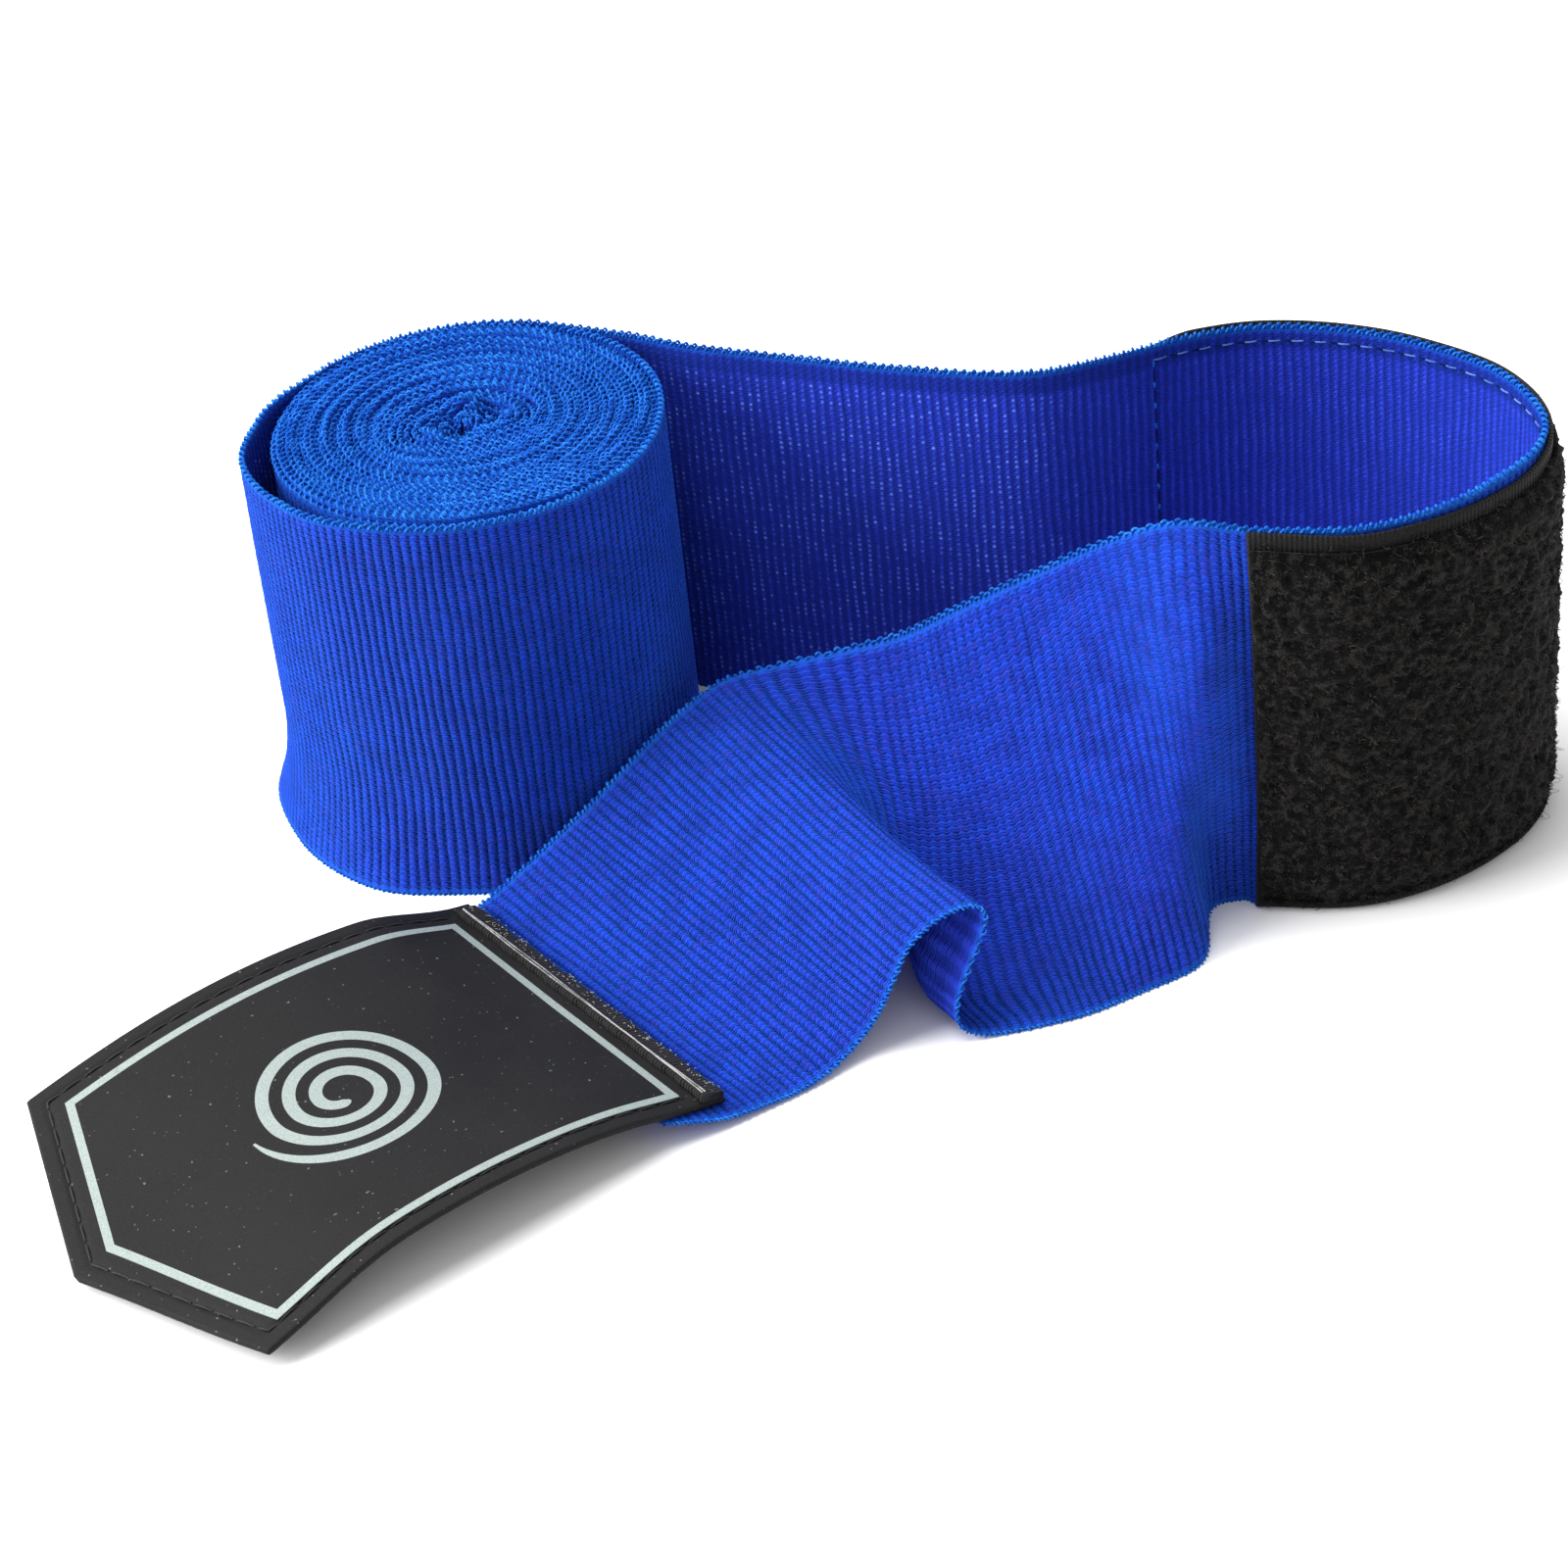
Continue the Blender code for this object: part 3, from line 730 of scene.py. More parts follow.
def face_finish():
    """Matte black synthetic face with a fine grain and a little dust."""
    made = Finish("tab_face_coating", Roughness=0.7, Specular_IOR_Level=0.14)
    grain = made.noise(6500.0)
    cloud = made.noise(70.0, 3.0)
    tone = grain * 0.6 + cloud * 0.4
    base = made.mix(tone.ramp(0.35, 0.65), (0.0065, 0.0065, 0.0068), (0.013, 0.013, 0.0133))
    dust = made.noise(2300.0, 0.0).ramp(0.80, 0.86, 0.0, 0.5)
    made.look("Base Color", made.mix(dust, base, (0.2, 0.2, 0.2)))
    made.look("Roughness", cloud.ramp(0.3, 0.7, 0.62, 0.78))
    made.bump(grain, 0.00005, 0.6)
    return made.material


def print_finish():
    """Pale ink, a little worn."""
    made = Finish("pale_print", Roughness=0.5, Specular_IOR_Level=0.4)
    grain = made.noise(5000.0)
    worn = made.noise(700.0, 3.0).ramp(0.66, 0.78, 0.0, 0.4)
    base = made.mix(grain.ramp(0.35, 0.65), (0.20, 0.24, 0.228), (0.26, 0.305, 0.292))
    made.look("Base Color", made.mix(worn, base, (0.125, 0.15, 0.142)))
    made.bump(grain, 0.00004)
    return made.material


def floor_finish():
    """White paper with a faint broad unevenness."""
    made = Finish("studio_floor", Roughness=0.6)
    made.look("Base Color", made.mix(made.noise(3.0, 1.0), (0.93, 0.93, 0.93), (0.95, 0.95, 0.95)))
    return made.material


KNIT = knit_finish()
SELVEDGE = thread_finish("selvedge_yarn", (0.008, 0.070, 0.41), (0.022, 0.170, 0.65), 0.9, 0.45,
                         BLUE_SHEEN, 0.05)
PALE_BLUE = thread_finish("patch_seam_yarn", (0.04, 0.09, 0.32), (0.12, 0.21, 0.52), 0.6, 0.2,
                          BLUE_SHEEN, 0.2)
NAVY_THREAD = thread_finish("navy_yarn", (0.001, 0.003, 0.03), (0.004, 0.012, 0.10), 0.8, 0.1,
                            BLUE_SHEEN, 0.05)
TAPE = tape_finish()
PILE = pile_finish("loop_pile", (0.0004, 0.0004, 0.0004), (0.016, 0.0145, 0.0135))
# Loops and stray fibres get a lighter copy of the pile's black: painted highlight on the fibres that stand
# up out of the darker pile.
LIT_CURL = pile_finish("loop_pile_fibre_painted_highlight", (0.0012, 0.0011, 0.0011), (0.060, 0.055, 0.051))
FACE = face_finish()
PRINT = print_finish()
BLACK_THREAD = thread_finish("black_yarn", (0.002, 0.002, 0.002), (0.010, 0.010, 0.010), 0.6, 0.05)
CLEAR_THREAD = thread_finish("pale_yarn", (0.10, 0.10, 0.10), (0.34, 0.34, 0.33), 0.35, 0.1)


# ---------------------------------------------------------------- pieces

def selvedge_coils(name, start_rib, end_rib, edge_share):
    """The edge yarn that winds over a selvedge, twice a rib; the lower one is flatter."""
    turns = np.arange(start_rib, end_rib, 1.0 / COIL_STEPS)
    w = np.full_like(turns, WIDTH * edge_share)
    distance = rib_distance(turns, w)
    above, below = (sheet_points(distance, np.clip(w + reach, 0, WIDTH)) for reach in (0.5, -0.5))
    up = unit(above - below)
    normal = unit(np.cross(up, heading(distance, w)))
    sign, full = (1.0, 1.0) if edge_share > 0.5 else (-1.0, LOWER_COIL)
    angle = 2 * FULL * turns
    rib = np.floor(turns).astype(int)
    scallop = rib_profile(turns)
    size = full * (0.13 + 0.13 * scallop + 0.05 * RANDOM.random(rib.max() + 2)[rib])
    lift = 0.10 * (RANDOM.random(rib.max() + 2)[rib] - 0.5) + 0.20 * (scallop - 0.6)
    coil = sheet_points(distance, w) + normal * (np.sin(angle) * size)[:, None]
    coil += up * (sign * (np.cos(angle) * size + lift * full))[:, None]
    return yarn(name, coil[None], COIL_RADIUS * full, 4, SELVEDGE)


def ribs_at(distance):
    return int(round(distance / RIB))


CUTS = {
    "start": 0,
    "leave": ribs_at(LEAVE - 6.0),
    "back": ribs_at((LEAVE + PATCH_FROM) / 2),
    "bend": ribs_at((PATCH_FROM + PATCH_TO) / 2),
    "front": ribs_at(PATCH_TO + 24.0),
    "end": int((DISTANCE[-1] - 0.3) / RIB),
}


def world_at(distance, across=25.0):
    return to_world(sheet_points(np.array([distance]), np.array([across]))[0])


def blend_line(distance, before, after):
    """Start and end of a bend, straight along the band's travel at that place."""
    here = world_at(distance)
    ahead = world_at(distance + 0.5) - world_at(distance - 0.5)
    ahead = unit(ahead * (1.0, 1.0, 0.0))
    return tuple(here - ahead * before * MM), tuple(here + ahead * after * MM)


def band():
    """The visible stretches of knit, each spanning at most one joint, with their selvedge coils; only the
    loose turn is attached to a body.
    """
    stretches = (
        ("band_loose_turn", "start", "leave", ("rolled_band",), "root", None, None),
        ("band_back_run", "leave", "back", ("back_run_band",), "root", "back_run", (LEAVE, 1.0, 7.0)),
        ("band_patch_back", "back", "bend", ("patch_band",), "back_run", "patch", (PATCH_FROM, 4.0, 4.0)),
        ("band_patch_front", "bend", "front", ("patch_band",), "patch", "front_run", (PATCH_TO, 1.0, 7.0)),
        ("band_front_run", "front", "end", ("front_run_band", "sewn_band_end"), "front_run", "tab",
         (SEAM, 4.0, 0.4)),
    )
    for name, start, end, nodes, first, second, bend in stretches:
        piece = knit_piece(name, CUTS[start], CUTS[end])
        trims = [selvedge_coils(name + "_" + edge + "_selvedge", CUTS[start], CUTS[end], share)
                 for edge, share in (("upper", 1.0), ("lower", 0.0))]
        for item in [piece] + trims:
            if second:
                start_point, end_point = blend_line(*bend)
                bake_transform(item)
            else:
                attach(item, first)
        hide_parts(*nodes)
        held = "folded" if name == "band_loose_turn" else "laid"


def wound_turns():
    """The wound turns inside the loose one, with the coiled selvedge and the fuzz on their upper edge."""
    turns = (LEAVE_RADIUS - LOOSE_EXTRA - EYE_RADIUS) / TURN_PITCH
    fine = np.linspace(1.0, turns, int((turns - 1.0) * 720))
    length = travelled(*wound_place(fine, 0.0).T)
    ribs = int(length[-1] / RIB)
    phase = (np.arange(ribs)[:, None] + np.array(WOUND_STEPS)[None]).ravel()
    turn = np.interp(phase * RIB, length, fine)
    ridge = rib_profile(phase)
    lift = top_lift(turn)
    sides = [(w, 1) for w in WOUND_LEVELS] + [(WIDTH, 0)] + [(w, -1) for w in WOUND_LEVELS[::-1]]
    around = []
    weave = []
    for w, sign in [(0.0, 0)] + sides:
        middle, normal = wound_frame(turn, w)
        relief = HALF_THICKNESS + 0.10 * (ridge * flat_edge(w) - 0.35)
        z = w + lift * smoothstep(25.0, 50.0, w) + (0.2 * ridge - 0.1) * (w == WIDTH)
        point = middle + normal * (sign * relief)[:, None]
        around.append(stacked(point[:, 0], point[:, 1], np.maximum(z, 0.0)))
        weave.append(stacked(phase, w, 0.5 + 0.5 * sign))
    ring, weave = (np.stack(layers, axis=1) for layers in (around, weave))
    piece = sealed("band_wound_turns", ring, KNIT, weave, edge_caps, True)
    coil_phase = np.arange(0, ribs, 1.0 / 8)
    turn = np.interp(coil_phase * RIB, length, fine)
    middle, normal = wound_frame(turn, WIDTH)
    rib = coil_phase.astype(int)
    size = 0.20 + 0.10 * RANDOM.random(ribs + 1)[rib]
    rough = 0.25 + 0.35 * smoothstep(16.0, 5.0, turn_radius(turn))
    jitter = 0.75 * rough * (RANDOM.random(ribs + 1)[rib] - 0.5)
    sway = 0.12 * (RANDOM.random(ribs + 1)[rib] - 0.5)
    spin = FULL * coil_phase
    coil = middle + normal * (np.sin(spin) * size + sway)[:, None]
    coil[:, 2] = WIDTH + top_lift(turn) + np.cos(spin) * size + jitter - 0.02
    trim = yarn("band_wound_selvedge", coil[None], 0.15, 4, SELVEDGE)
    fuzz = roll_fuzz(turn, middle, normal)
    for item in (piece, trim, fuzz):
        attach(item, "root")
    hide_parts("rolled_band")


def turn_radius(turn):
    return LEAVE_RADIUS - LOOSE_EXTRA - TURN_PITCH * turn


def wound_place(turn, height):
    """Plan points of the wound band: round outside, squashed near the eye, closed over the thumb loop."""
    angle = math.radians(LEAVE_ANGLE) + FULL * turn
    radius = turn_radius(turn)
    closing = smoothstep(25.0, 47.0, height) * smoothstep(GATHER_RADIUS, GATHER_RADIUS - 2.0, radius)
    spacing = (GATHER_RADIUS - GATHERED_EYE) / (GATHER_RADIUS - EYE_RADIUS)
    gathered = GATHERED_EYE + (radius - EYE_RADIUS) * spacing
    radius_here = radius + (gathered - radius) * closing
    inner = smoothstep(13.0, 3.0, radius)
    stretch = 1.0 + 0.30 * inner * np.cos(2 * (angle - 0.35)) + 0.12 * inner * np.cos(3 * angle + 1.0)
    upper = smoothstep(30.0, 48.0, height)
    crumple = wobble((0.30, angle / 2.9, 0.2), (0.26, angle / 1.37, 0.7))
    crumple = crumple * upper * smoothstep(8.0, 3.6, radius)
    slack = wobble((0.06, angle / 2.1, 0.2), (0.05, angle / 0.83, 0.7)) * smoothstep(2.0, 6.0, radius)
    gaps = sum(0.20 * smoothstep(r - 0.3, r + 0.3, radius) for r in (20.4, 17.2, 13.0))
    gaps = (gaps - 0.6) * np.clip(np.cos(angle + 0.6), 0.0, 1.0) * upper
    reach = radius_here * stretch + slack + crumple + gaps
    return stacked(reach * np.cos(angle), reach * np.sin(angle), 0.0) + BLOCK_SHIFT


def wound_frame(turn, height):
    """Plan point and outward normal of the wound band at each turn value."""
    middle = wound_place(turn, height)
    travel = unit(wound_place(turn + 0.002, height) - wound_place(turn - 0.002, height))
    return middle, stacked(travel[:, 1], -travel[:, 0], 0.0)


def top_lift(turn):
    """Height of the upper selvedge over the nominal width, which differs from turn to turn."""
    radius = turn_radius(turn)
    angle = turn * FULL
    uneven = wobble((0.20, turn / 3.7, 0.0), (0.16, turn / 1.37, 0.4), (0.12, angle / 5.1, 0.2),
                    (0.10, angle / 1.9, 0.5))
    eye = smoothstep(8.0, 4.5, radius)
    folds = np.sin(3.0 * angle) + 0.6 * np.sin(5.0 * angle + turn)
    dip = -2.0 * smoothstep(7.0, 2.5, radius) + 1.0 * eye * folds
    first = (0.35 * np.sin(math.radians(LEAVE_ANGLE) + angle) - 0.65) * smoothstep(2.6, 1.2, turn)
    return uneven + dip + first - 0.2


def roll_fuzz(turn, middle, normal):
    """Short fibres that stand up from the roll's upper selvedges."""
    pick = RANDOM.integers(0, len(turn), FUZZ_COUNT)
    root = middle[pick] + normal[pick] * RANDOM.uniform(-0.3, 0.3, FUZZ_COUNT)[:, None]
    root[:, 2] = WIDTH + top_lift(turn[pick]) + 0.15
    lean = unit(RANDOM.normal(size=(FUZZ_COUNT, 3)) + (0.0, 0.0, 0.5))
    lean[:, 2] = np.abs(lean[:, 2])
    length = RANDOM.uniform(0.25, 0.6, FUZZ_COUNT)[:, None]
    curl = RANDOM.normal(size=(FUZZ_COUNT, 3)) * 0.12
    strands = np.stack([root, root + lean * length * 0.5 + curl, root + lean * length], axis=1)
    return yarn("roll_top_fuzz", strands, 0.026, 3, SELVEDGE)


def patch_frame(distance, across, outward):
    """Points on the outer side of the band's U."""
    travel = heading(distance, across)
    normal = stacked(-travel[..., 1], travel[..., 0], 0.0)
    return sheet_points(distance, across) + normal * np.asarray(outward)[..., None]


def tape_rise(d):
    """How far the tape stands above the band's upper edge: it dips under it past the U's apex."""
    span = PATCH_TO - PATCH_FROM
    table = ((0.0, -0.3), (7.0, 0.7), (0.5 * span, 0.55), (0.68 * span, -1.1), (0.85 * span, -0.3),
             (span, 0.35))
    return between(table, d - PATCH_FROM)


def fade_rim(across):
    """1 inside the pile, 0 at its long edges."""
    return smoothstep(0.0, 3.0, np.minimum(across - PILE_LOW, PILE_HIGH - across))


def slab(name, start, end, low, high, inner, outer, finish, columns, rows, relief=None):
    """A closed layer on the outer side of the U between two distances and two heights."""
    across = np.concatenate([[low], np.linspace(low + 0.15, high - 0.15, rows), [high]])
    d, w = np.meshgrid(np.linspace(start, end, columns), across, indexing="ij")
    flat = np.zeros_like(d)
    bump = relief(d, w) if relief is not None else flat
    w = w + tape_rise(d) * w / WIDTH
    levels = (flat + (inner + outer) / 2, outer + bump, flat + inner)
    ring = round_sheet(*(patch_frame(d, w, level) for level in levels))
    weave = stacked(d / 0.55, w, 1.0)
    return sealed(name, ring, finish, round_sheet(weave, weave, weave), edge_caps)


def loop_patch():
    """Woven ground tape, its pile of fine loops, and the thread that sews it to the band."""
    start, end = PATCH_FROM + 0.6, PATCH_TO + 0.2
    base = HALF_THICKNESS + 0.2
    ground = slab("patch_ground_tape", start, end, 0.2, WIDTH - 0.2, base, base + GROUND_THICKNESS, TAPE,
                  260, 60)
    top = base + GROUND_THICKNESS + 0.05

    def tufts(d, w):
        """Uneven brushed surface, worn down towards the pile's own edges."""
        rim = fade_rim(w) * smoothstep(-0.4, 0.6, np.minimum(d - start, end - d))
        clumps = RANDOM.normal(0.0, 1.0, d.shape)
        for axis in (0, 1, 1, 1, 1):
            clumps = clumps + 0.5 * (np.roll(clumps, 1, axis) + np.roll(clumps, -1, axis))
        clumps = clumps / clumps.std()
        fine = RANDOM.normal(0.0, 0.10, d.shape)
        return (fine + 0.17 * clumps) * rim - 1.08 * (1.0 - rim)

    pile = slab("patch_pile_base", start + 0.4, end - 0.4, PILE_LOW, PILE_HIGH, top, top + 1.15, PILE,
                230, 150, tufts)
    d = RANDOM.uniform(start + 0.5, end - 0.5, LOOP_COUNT)
    w = RANDOM.uniform(PILE_LOW - 0.5, PILE_HIGH + 0.6, LOOP_COUNT)
    loops = pile_loops(d, w, top + 0.12 + 0.85 * fade_rim(w), 0.75, 1.05, 5)
    curls = yarn("patch_pile_loops", loops, 0.05, 3, LIT_CURL)
    d = RANDOM.uniform(start + 0.5, end - 0.5, STRAY_COUNT)
    w = RANDOM.uniform(PILE_LOW, PILE_HIGH, STRAY_COUNT)
    strays = pile_loops(d, w, np.full(STRAY_COUNT, top + 0.9), 1.5, 1.2, 9)
    wild = yarn("patch_stray_fibres", strays, 0.022, 3, LIT_CURL)
    seam = patch_seam(start, end)
    for item in (ground, pile, curls, wild):
        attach(item, "patch")
    for item in seam:
        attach(item, "patch")
    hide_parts("loop_patch_ground")
    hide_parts("loop_patch_pile")
    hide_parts("loop_patch_thread")
    length = (end - start) * MM


def pile_loops(d, w, base, height, reach, steps):
    """Arched loops that stand on the patch, each in its own direction."""
    share = np.linspace(0.0, 1.0, steps)[None]
    turned = RANDOM.uniform(0.0, FULL, len(d))[:, None]
    size = RANDOM.uniform(0.5, 1.0, len(d))[:, None] * reach
    tall = RANDOM.uniform(0.5, 1.15, len(d))[:, None] * height
    arch = np.sin(math.pi * share)
    lean = RANDOM.normal(0.0, 0.35, len(d))[:, None] * arch
    span = (share - 0.5) * size
    d = d[:, None] + span * np.cos(turned) + lean * np.sin(turned)
    w = np.clip(w[:, None] + span * np.sin(turned) - lean * np.cos(turned), 0.4, WIDTH - 0.4)
    w = w + tape_rise(d) * w / WIDTH
    return patch_frame(d, w, base[:, None] - 0.2 + tall * arch)


def stitch_spans(x, y, length, gap):
    """Points of separate stitches along a line, and the arch of a stitch between its ends."""
    step = travelled(x, y)
    starts = np.arange(0.0, step[-1] - length, length + gap)
    share = np.linspace(0.0, 1.0, 6)[None]
    place = starts[:, None] + length * share
    return np.interp(place, step, x), np.interp(place, step, y), np.sin(math.pi * share)


def stitches(name, distance, across, outward, length, gap, radius, finish):
    """A row of separate stitches along a line of (distance, height) points on the U's inner side."""
    d, w, arch = stitch_spans(distance, across, length, gap)
    return yarn(name, patch_frame(d, w, outward - (arch * 0.16 - 0.12)), radius, 5, finish)


def patch_seam(start, end):
    """Stitch rows on the inner side: along both edges and across both ends of the patch."""
    inside = -(HALF_THICKNESS + 0.10)
    first, last = start + 0.9, end - 1.2
    low, high = SEAM_INSET, WIDTH - UPPER_SEAM_INSET
    made = []
    for name, d, w, thread, hole, long in (
        ("patch_seam_upper", (first, last), (high, high), PALE_BLUE, NAVY_THREAD, 1.7),
        ("patch_seam_lower", (first, last), (low, low), PALE_BLUE, NAVY_THREAD, 1.7),
        ("patch_seam_back", (first, first), (low, high), NAVY_THREAD, SELVEDGE, 2.1),
        ("patch_seam_front", (last, last), (low, high), PALE_BLUE, NAVY_THREAD, 1.7),
    ):
        shift = long * np.sign([d[1] - d[0], w[1] - w[0]])
        d = np.linspace(*d, 200)
        w = np.linspace(*w, 200)
        short = STITCH_PITCH - long
        made.append(stitches(name, d, w, inside, long, short, 0.12, thread))
        made.append(stitches(name + "_sinks", d[1:] + shift[0], w[1:] + shift[1], inside + 0.03, short,
                             long, 0.15, hole))
    return made


def thumb_loop():
    """The folded tape loop in the eye, and its bar tack."""
    z = np.linspace(THUMB_FOOT, THUMB_TOP, 50)
    angle = np.linspace(0.0, math.pi, 20)
    bend = stacked(np.cos(angle), np.sin(angle)) * THUMB_HALF_GAP + (0.0, THUMB_TOP + 0.15)
    path = np.vstack([stacked(THUMB_HALF_GAP, z), bend, stacked(-THUMB_HALF_GAP, z[::-1])])
    along = unit(np.gradient(path, axis=0))
    normal = stacked(along[:, 1], -along[:, 0])
    across = np.linspace(-THUMB_HALF_WIDTH, THUMB_HALF_WIDTH, 9)
    layers = []
    for y, side in [(y, 1) for y in across] + [(y, -1) for y in across[::-1]]:
        swell = 0.28 + 0.06 * math.cos(math.pi * y / (2 * THUMB_HALF_WIDTH))
        x, z = (path + normal * side * swell).T
        layers.append(stacked(x, y, z))
    weave = stacked(np.arange(len(path))[:, None] * 0.6, np.linspace(10, 40, len(layers)), 1.0)
    piece = sealed("thumb_loop_tape", np.stack(layers, axis=1), KNIT, weave, flat_caps)
    turn = np.linspace(0.0, FULL, SPLINE_STEPS)
    bars = [stacked(1.36 * np.cos(turn), 2.3 * np.sin(turn), z)
            for z in np.linspace(TACK_LOW, TACK_HIGH, TACK_TURNS)]
    tack = yarn("thumb_loop_tack", np.array(bars), 0.11, 5, CLEAR_THREAD)
    for item, used in ((piece, "band_knit"), (tack, "pale_thread")):
        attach(item, "root")
    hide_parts("thumb_loop")
    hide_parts("thumb_loop_thread")


def edge_distance(s, t):
    """Distance in mm from a point of the tab to its outline."""
    taper = (TAB_HALF_WIDTH - (s - TAB_SHOULDER) * TAPER - np.abs(t)) / math.hypot(1.0, TAPER)
    return np.minimum(TAB_HALF_WIDTH - np.abs(t), taper)


def half_width(s, inset=0.0):
    point = TAB_HALF_WIDTH - (s - TAB_SHOULDER) * TAPER - inset * math.hypot(1.0, TAPER)
    return np.maximum(np.minimum(TAB_HALF_WIDTH - inset, point), 0.3)


def tab_solid(name, start, end, inset, top, thickness, finish, surface):
    """One closed layer of the tab with rounded rims; surface(s, t) lowers its upper face."""
    s = np.concatenate([[start], np.linspace(start + 0.12, end - 0.12, TAB_COLUMNS), [end]])
    share = np.sin(np.linspace(-1.0, 1.0, TAB_ROWS) * TAB_CROWDING) / math.sin(TAB_CROWDING)
    ss = np.broadcast_to(s[:, None], (len(s), TAB_ROWS))
    tt = half_width(s, inset)[:, None] * share[None]
    gap = np.clip(np.minimum(edge_distance(ss, tt) - inset, ss - start + 0.02), 0.0, TAB_ROUNDING)
    round_off = TAB_ROUNDING - np.sqrt(TAB_ROUNDING ** 2 - (TAB_ROUNDING - gap) ** 2)
    upper = tab_point(ss, tt, top + round_off + surface(ss, tt))
    lower = tab_point(ss, tt, top + thickness - round_off)
    weave = stacked(ss, tt, 1.0)
    ring, weave = (np.concatenate([above, below[:, ::-1]], axis=1)
                   for above, below in ((upper, lower), (weave, weave)))
    return sealed(name, ring, finish, weave, flat_caps, True)


def face_surface(s, t):
    """The pressed seam line and the slight pillow of the tab's face."""
    gap = edge_distance(s, t)
    groove = 0.22 * np.exp(-((gap - EDGE_SEAM_INSET) / 0.35) ** 2) * (s > 4.0)
    pillow = -0.15 * smoothstep(2.5, 6.0, gap)
    return groove + pillow


def outline_corners(start, inset):
    """(s, t) corners of the tab's outline inside its edge, closed across the seam end."""
    slant = inset * math.hypot(1.0, TAPER)
    shoulder = TAB_SHOULDER + (inset - slant) / TAPER
    tip = TAB_SHOULDER + (TAB_HALF_WIDTH - slant) / TAPER
    side = TAB_HALF_WIDTH - inset
    return np.array([(start, side), (shoulder, side), (tip, 0.0), (shoulder, -side), (start, -side),
                     (start, side)])


def outline_path(start, inset, spacing):
    """Evenly spaced (s, t) points round the tab, with its corners."""
    corners = outline_corners(start, inset).T
    step = travelled(*corners)
    place = np.linspace(0.0, step[-1], int(step[-1] / spacing))
    place = np.unique(np.concatenate([place, step]))
    return [np.interp(place, step, row) for row in corners]


def print_strip(name, left, right, closed):
    """A thin raised print between two (s, t) lines."""
    ring = np.stack([tab_point(*left, -PRINT_TOP), tab_point(*right, -PRINT_TOP),
                     tab_point(*right, -PRINT_FOOT), tab_point(*left, -PRINT_FOOT)], axis=1)
    faces = ring_faces(len(ring), 4, closed)
    if not closed:
        faces = np.vstack([faces, [[3, 2, 1, 0]], [np.arange(4 * len(ring) - 4, 4 * len(ring))]])
    return mesh_object(name, ring.reshape(-1, 3), faces, PRINT, smooth=False)


def emblem_lines():
    """Both sides of the emblem, a rolled wrap seen end on: a spiral with tapered ends."""
    share = np.linspace(0.0, 1.0, 260)
    angle = FULL * EMBLEM_TURNS * (share - 1.0)
    reach = EMBLEM_EYE + (EMBLEM_RADIUS - EMBLEM_EYE) * share
    line = stacked(EMBLEM_CENTRE + reach * np.cos(angle), reach * np.sin(angle))
    along = unit(np.gradient(line, axis=0))
    half = EMBLEM_LINE / 2 * np.clip(np.minimum(share / 0.02, (1.0 - share) / 0.05), 0.05, 1.0) ** 0.5
    side = stacked(-along[:, 1], along[:, 0]) * half[:, None]
    return (line + side).T, (line - side).T


def tab():
    """The closing tab: face, hook layer, edge stitches, prints, and the binding with its threads."""
    face = tab_solid("tab_face_layer", TAB_START, TAB_LENGTH, 0.0, 0.0, FACE_THICKNESS, FACE, face_surface)

    def hook_surface(s, t):
        return RANDOM.normal(0.0, 0.02, s.shape)

    hooks = tab_solid("tab_hook_layer", HOOK_START, HOOK_END, EDGE_SEAM_INSET, FACE_THICKNESS + 0.1,
                      HOOK_THICKNESS, TAPE, hook_surface)
    s, t, arch = stitch_spans(*outline_path(EDGE_SEAM_START, EDGE_SEAM_INSET, 0.5), 2.4, 0.5)
    edge = yarn("tab_edge_stitches", tab_point(s, t, 0.10 - (arch * 0.14 - 0.10)), 0.14, 5, BLACK_THREAD)
    border = border_print()
    emblem = print_strip("tab_emblem", *emblem_lines(), False)
    binding = binding_strip()
    seam_line, seam_dots = seam_threads()
    pieces = (
        (face, "tab_face", "tab_face"),
        (hooks, "black_tape", "tab_hook_tape"),
        (edge, "black_thread", "tab_edge_thread"),
        (border, "tab_print", "tab_border_print"),
        (emblem, "tab_print", "tab_emblem_print"),
        (binding, "black_tape", "tab_binding"),
        (seam_line, "pale_thread", "tab_seam_thread"),
    )
    for item, used, node in pieces:
        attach(item, "tab")
        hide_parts(node)
    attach(seam_dots, "tab")


def border_print():
    """The pale line inside the tab's edge, as one closed frame."""
    rows = []
    share = (np.arange(60) / 60)[None, :, None]
    for extra in (0.0, BORDER_WIDTH):
        corners = outline_corners(BORDER_START + extra, BORDER_INSET + extra)
        row = corners[:-1, None] + np.diff(corners, axis=0)[:, None] * share
        s, t = row.reshape(-1, 2).T
        rows.append((s, np.where(t < 0.0, t * NEAR_BORDER_REACH, t)))
    outer, inner = rows
    return print_strip("tab_border", inner, outer, True)


def binding_wave(t):
    """Slight waviness of the binding strip along the seam."""
    return wobble((0.07, t / 9.0, 0.0), (0.05, t / 4.2, 0.3), (0.03, t / 1.7, 0.6))


def binding_strip():
    """The narrow folded strip over the tab's seam, rounded along its folds."""
    t = np.linspace(-TAB_HALF_WIDTH, TAB_HALF_WIDTH - 2.2, 260)
    angle = np.linspace(0.0, math.pi, 9)
    profile = [(0.8 + 0.3 * (1 - math.sin(a)), 0.4 - 0.4 * math.cos(a)) for a in angle]
    profile += [(1.8, 0.84), (2.6, 0.98)]
    profile += [(3.7 - 0.35 * (1 - math.sin(a)), 0.5 + 0.5 * math.cos(a)) for a in angle]
    wave = binding_wave(t)
    layers = [tab_point(s + 1.2 * wave * (s > 1.0), t, -(0.05 + h * (1.0 + wave))) for s, h in profile]
    weave = stacked(t[:, None] / 0.5, [s for s, _ in profile], 1.0)
    return sealed("tab_binding_strip", np.stack(layers, axis=1), TAPE, weave, flat_caps)


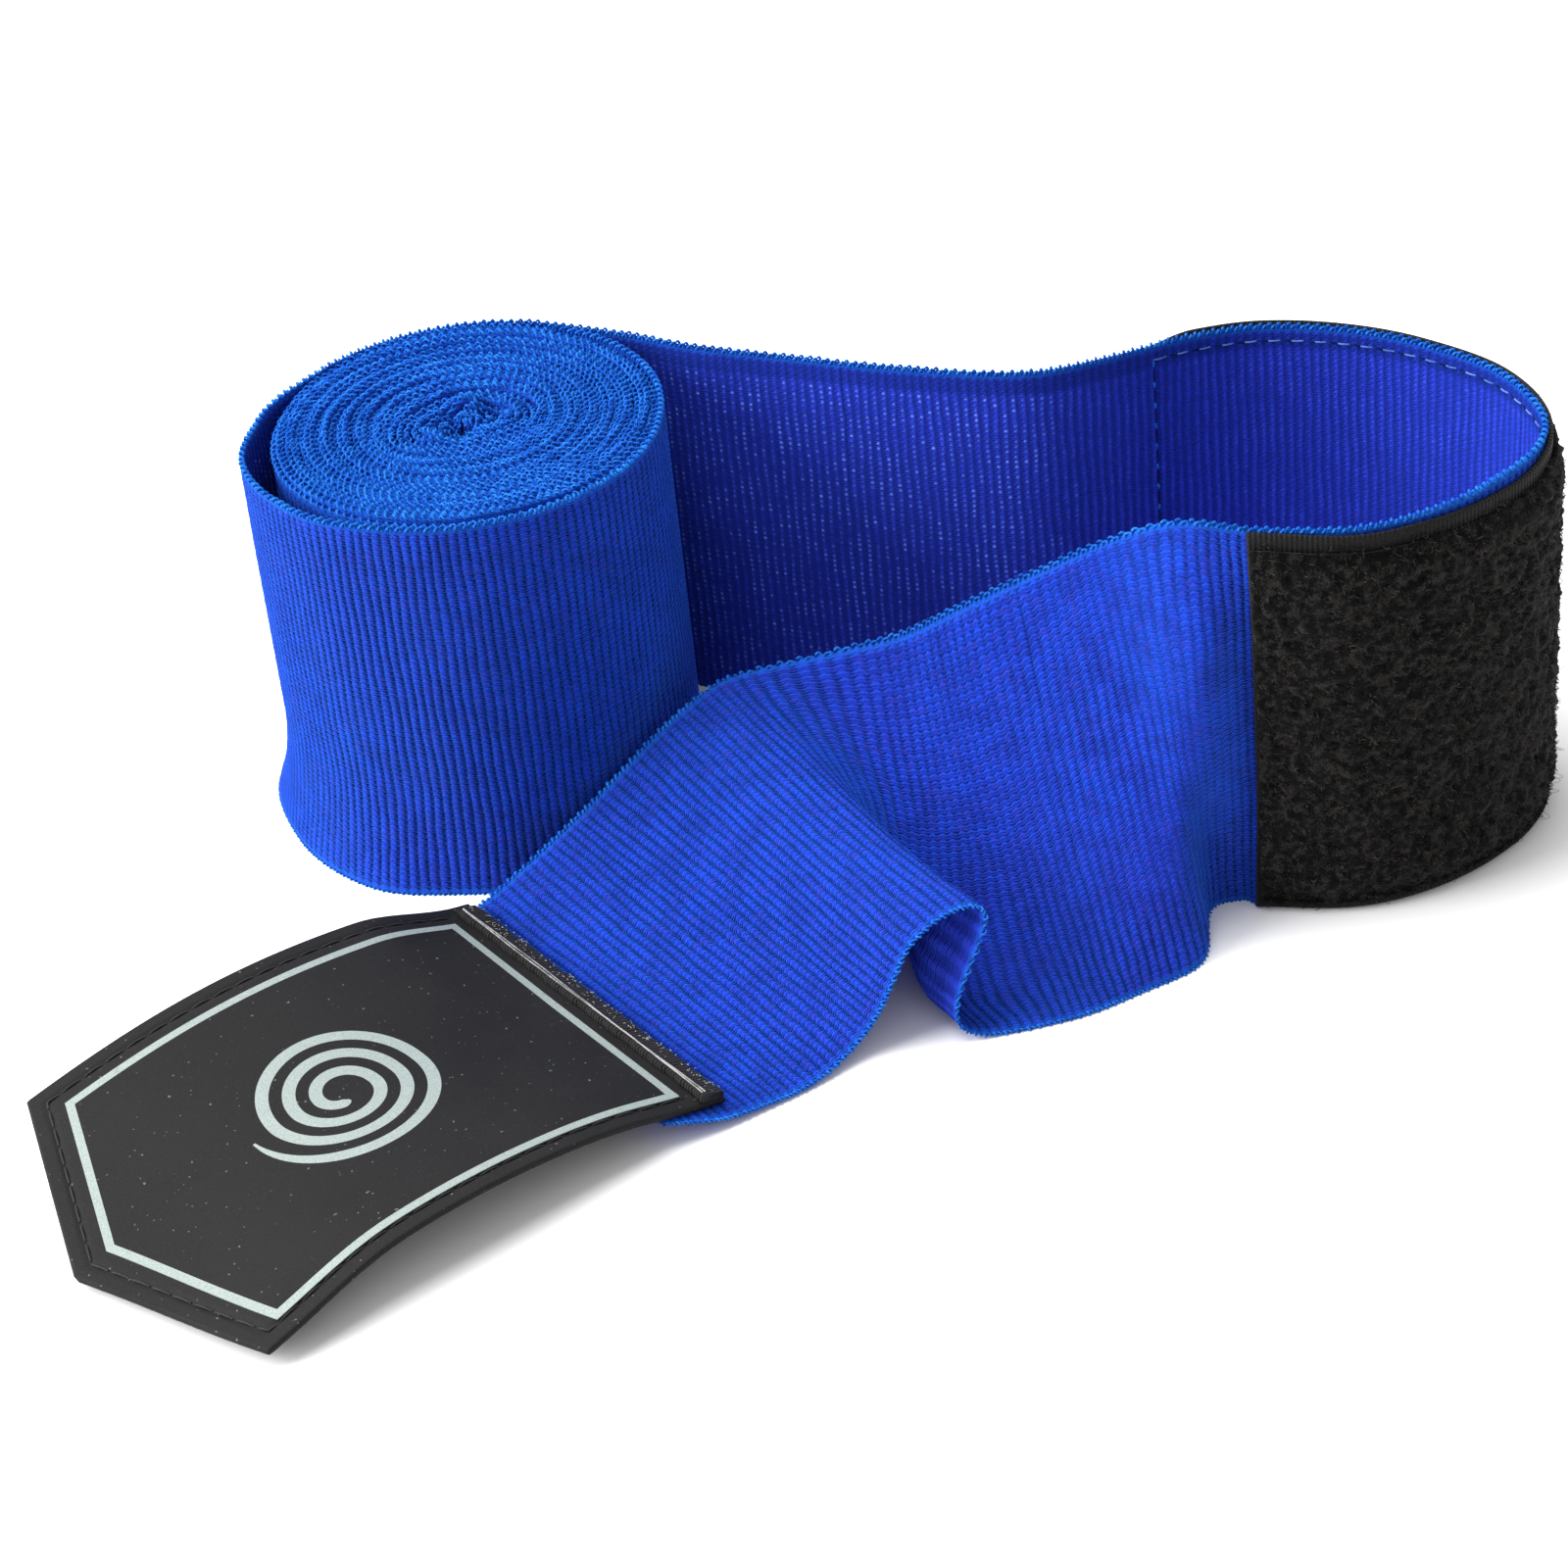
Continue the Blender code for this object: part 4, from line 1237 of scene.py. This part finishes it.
def seam_threads():
    """The pale thread laid along the strip's fold, and the tiny stitches that show through the strip."""
    t = np.linspace(-TAB_HALF_WIDTH + 0.5, TAB_HALF_WIDTH - 2.6, 400)
    wave = binding_wave(t)
    lines = [tab_point(s + drift * np.sin(t / 6.0) + 1.2 * wave, t, -(1.06 + 0.9 * wave))
             for s, drift in ((3.15, 0.10), (2.95, -0.12))]
    line = yarn("tab_seam_line", np.array(lines), 0.10, 6, CLEAR_THREAD)
    t = RANDOM.uniform(-TAB_HALF_WIDTH + 0.4, TAB_HALF_WIDTH - 2.6, SPECK_COUNT)[:, None]
    s = RANDOM.uniform(0.7, 2.4, SPECK_COUNT)[:, None]
    angle = RANDOM.uniform(0.0, math.pi, SPECK_COUNT)[:, None]
    size = RANDOM.uniform(0.12, 0.30, SPECK_COUNT)[:, None]
    share = np.linspace(-0.5, 0.5, 4)[None]
    s = s + share * size * np.cos(angle)
    t = t + share * size * np.sin(angle)
    height = 0.93 + 0.06 * np.cos(math.pi * share) + 0.07 * (s - 1.8)
    return line, yarn("tab_seam_specks", tab_point(s, t, -height), 0.055, 4, CLEAR_THREAD)


# ---------------------------------------------------------------- studio

def studio():
    """White floor, a soft key light from the left, a lamp above, and the camera."""
    corners = [(x * FLOOR_REACH, y * FLOOR_REACH, CAD_BOX[0][2])
               for x, y in ((-1, -1), (1, -1), (1, 1), (-1, 1))]
    data = bpy.data.meshes.new("studio_floor")
    data.from_pydata(corners, [], [(0, 1, 2, 3)])
    data.materials.append(floor_finish())
    add_object("studio_floor", data)
    world = bpy.data.worlds.new("studio")
    world.use_nodes = True
    world.node_tree.nodes["Background"].inputs["Color"].default_value = WHITE
    world.node_tree.nodes["Background"].inputs["Strength"].default_value = SKY_STRENGTH
    bpy.context.scene.world = world
    for name, place, width, power in LAMPS:
        light = bpy.data.lights.new(name, "AREA")
        light.shape = "SQUARE"
        light.size = width
        light.energy = power
        back = unit(np.array(place) - LAMP_TARGET)
        side = unit(np.cross((0.0, 0.0, 1.0), back))
        put(add_object(name, light), side, np.cross(back, side), back, place)
    lens = bpy.data.cameras.new("camera")
    lens.lens = CAMERA_LENS
    lens.sensor_width = SENSOR_WIDTH
    lens.clip_start = 0.01
    camera = add_object("camera", lens)
    back = np.array([0.0, -math.cos(CAMERA_PITCH), math.sin(CAMERA_PITCH)])
    level = np.array([1.0, 0.0, 0.0])
    lift = np.array([0.0, math.sin(CAMERA_PITCH), math.cos(CAMERA_PITCH)])
    right = level * math.cos(CAMERA_ROLL) - lift * math.sin(CAMERA_ROLL)
    up = level * math.sin(CAMERA_ROLL) + lift * math.cos(CAMERA_ROLL)
    put(camera, right, up, back, to_world(CAMERA_PLACE))
    bpy.context.scene.camera = camera
    bpy.context.scene.view_settings.view_transform = "Standard"


def put(item, right, up, back, place):
    """Places a lamp or camera, which looks along the opposite of back."""
    item.matrix_world = Matrix([*zip(right, up, back, place), (0, 0, 0, 1)])


studio()
band()
wound_turns()
loop_patch()
thumb_loop()
tab()
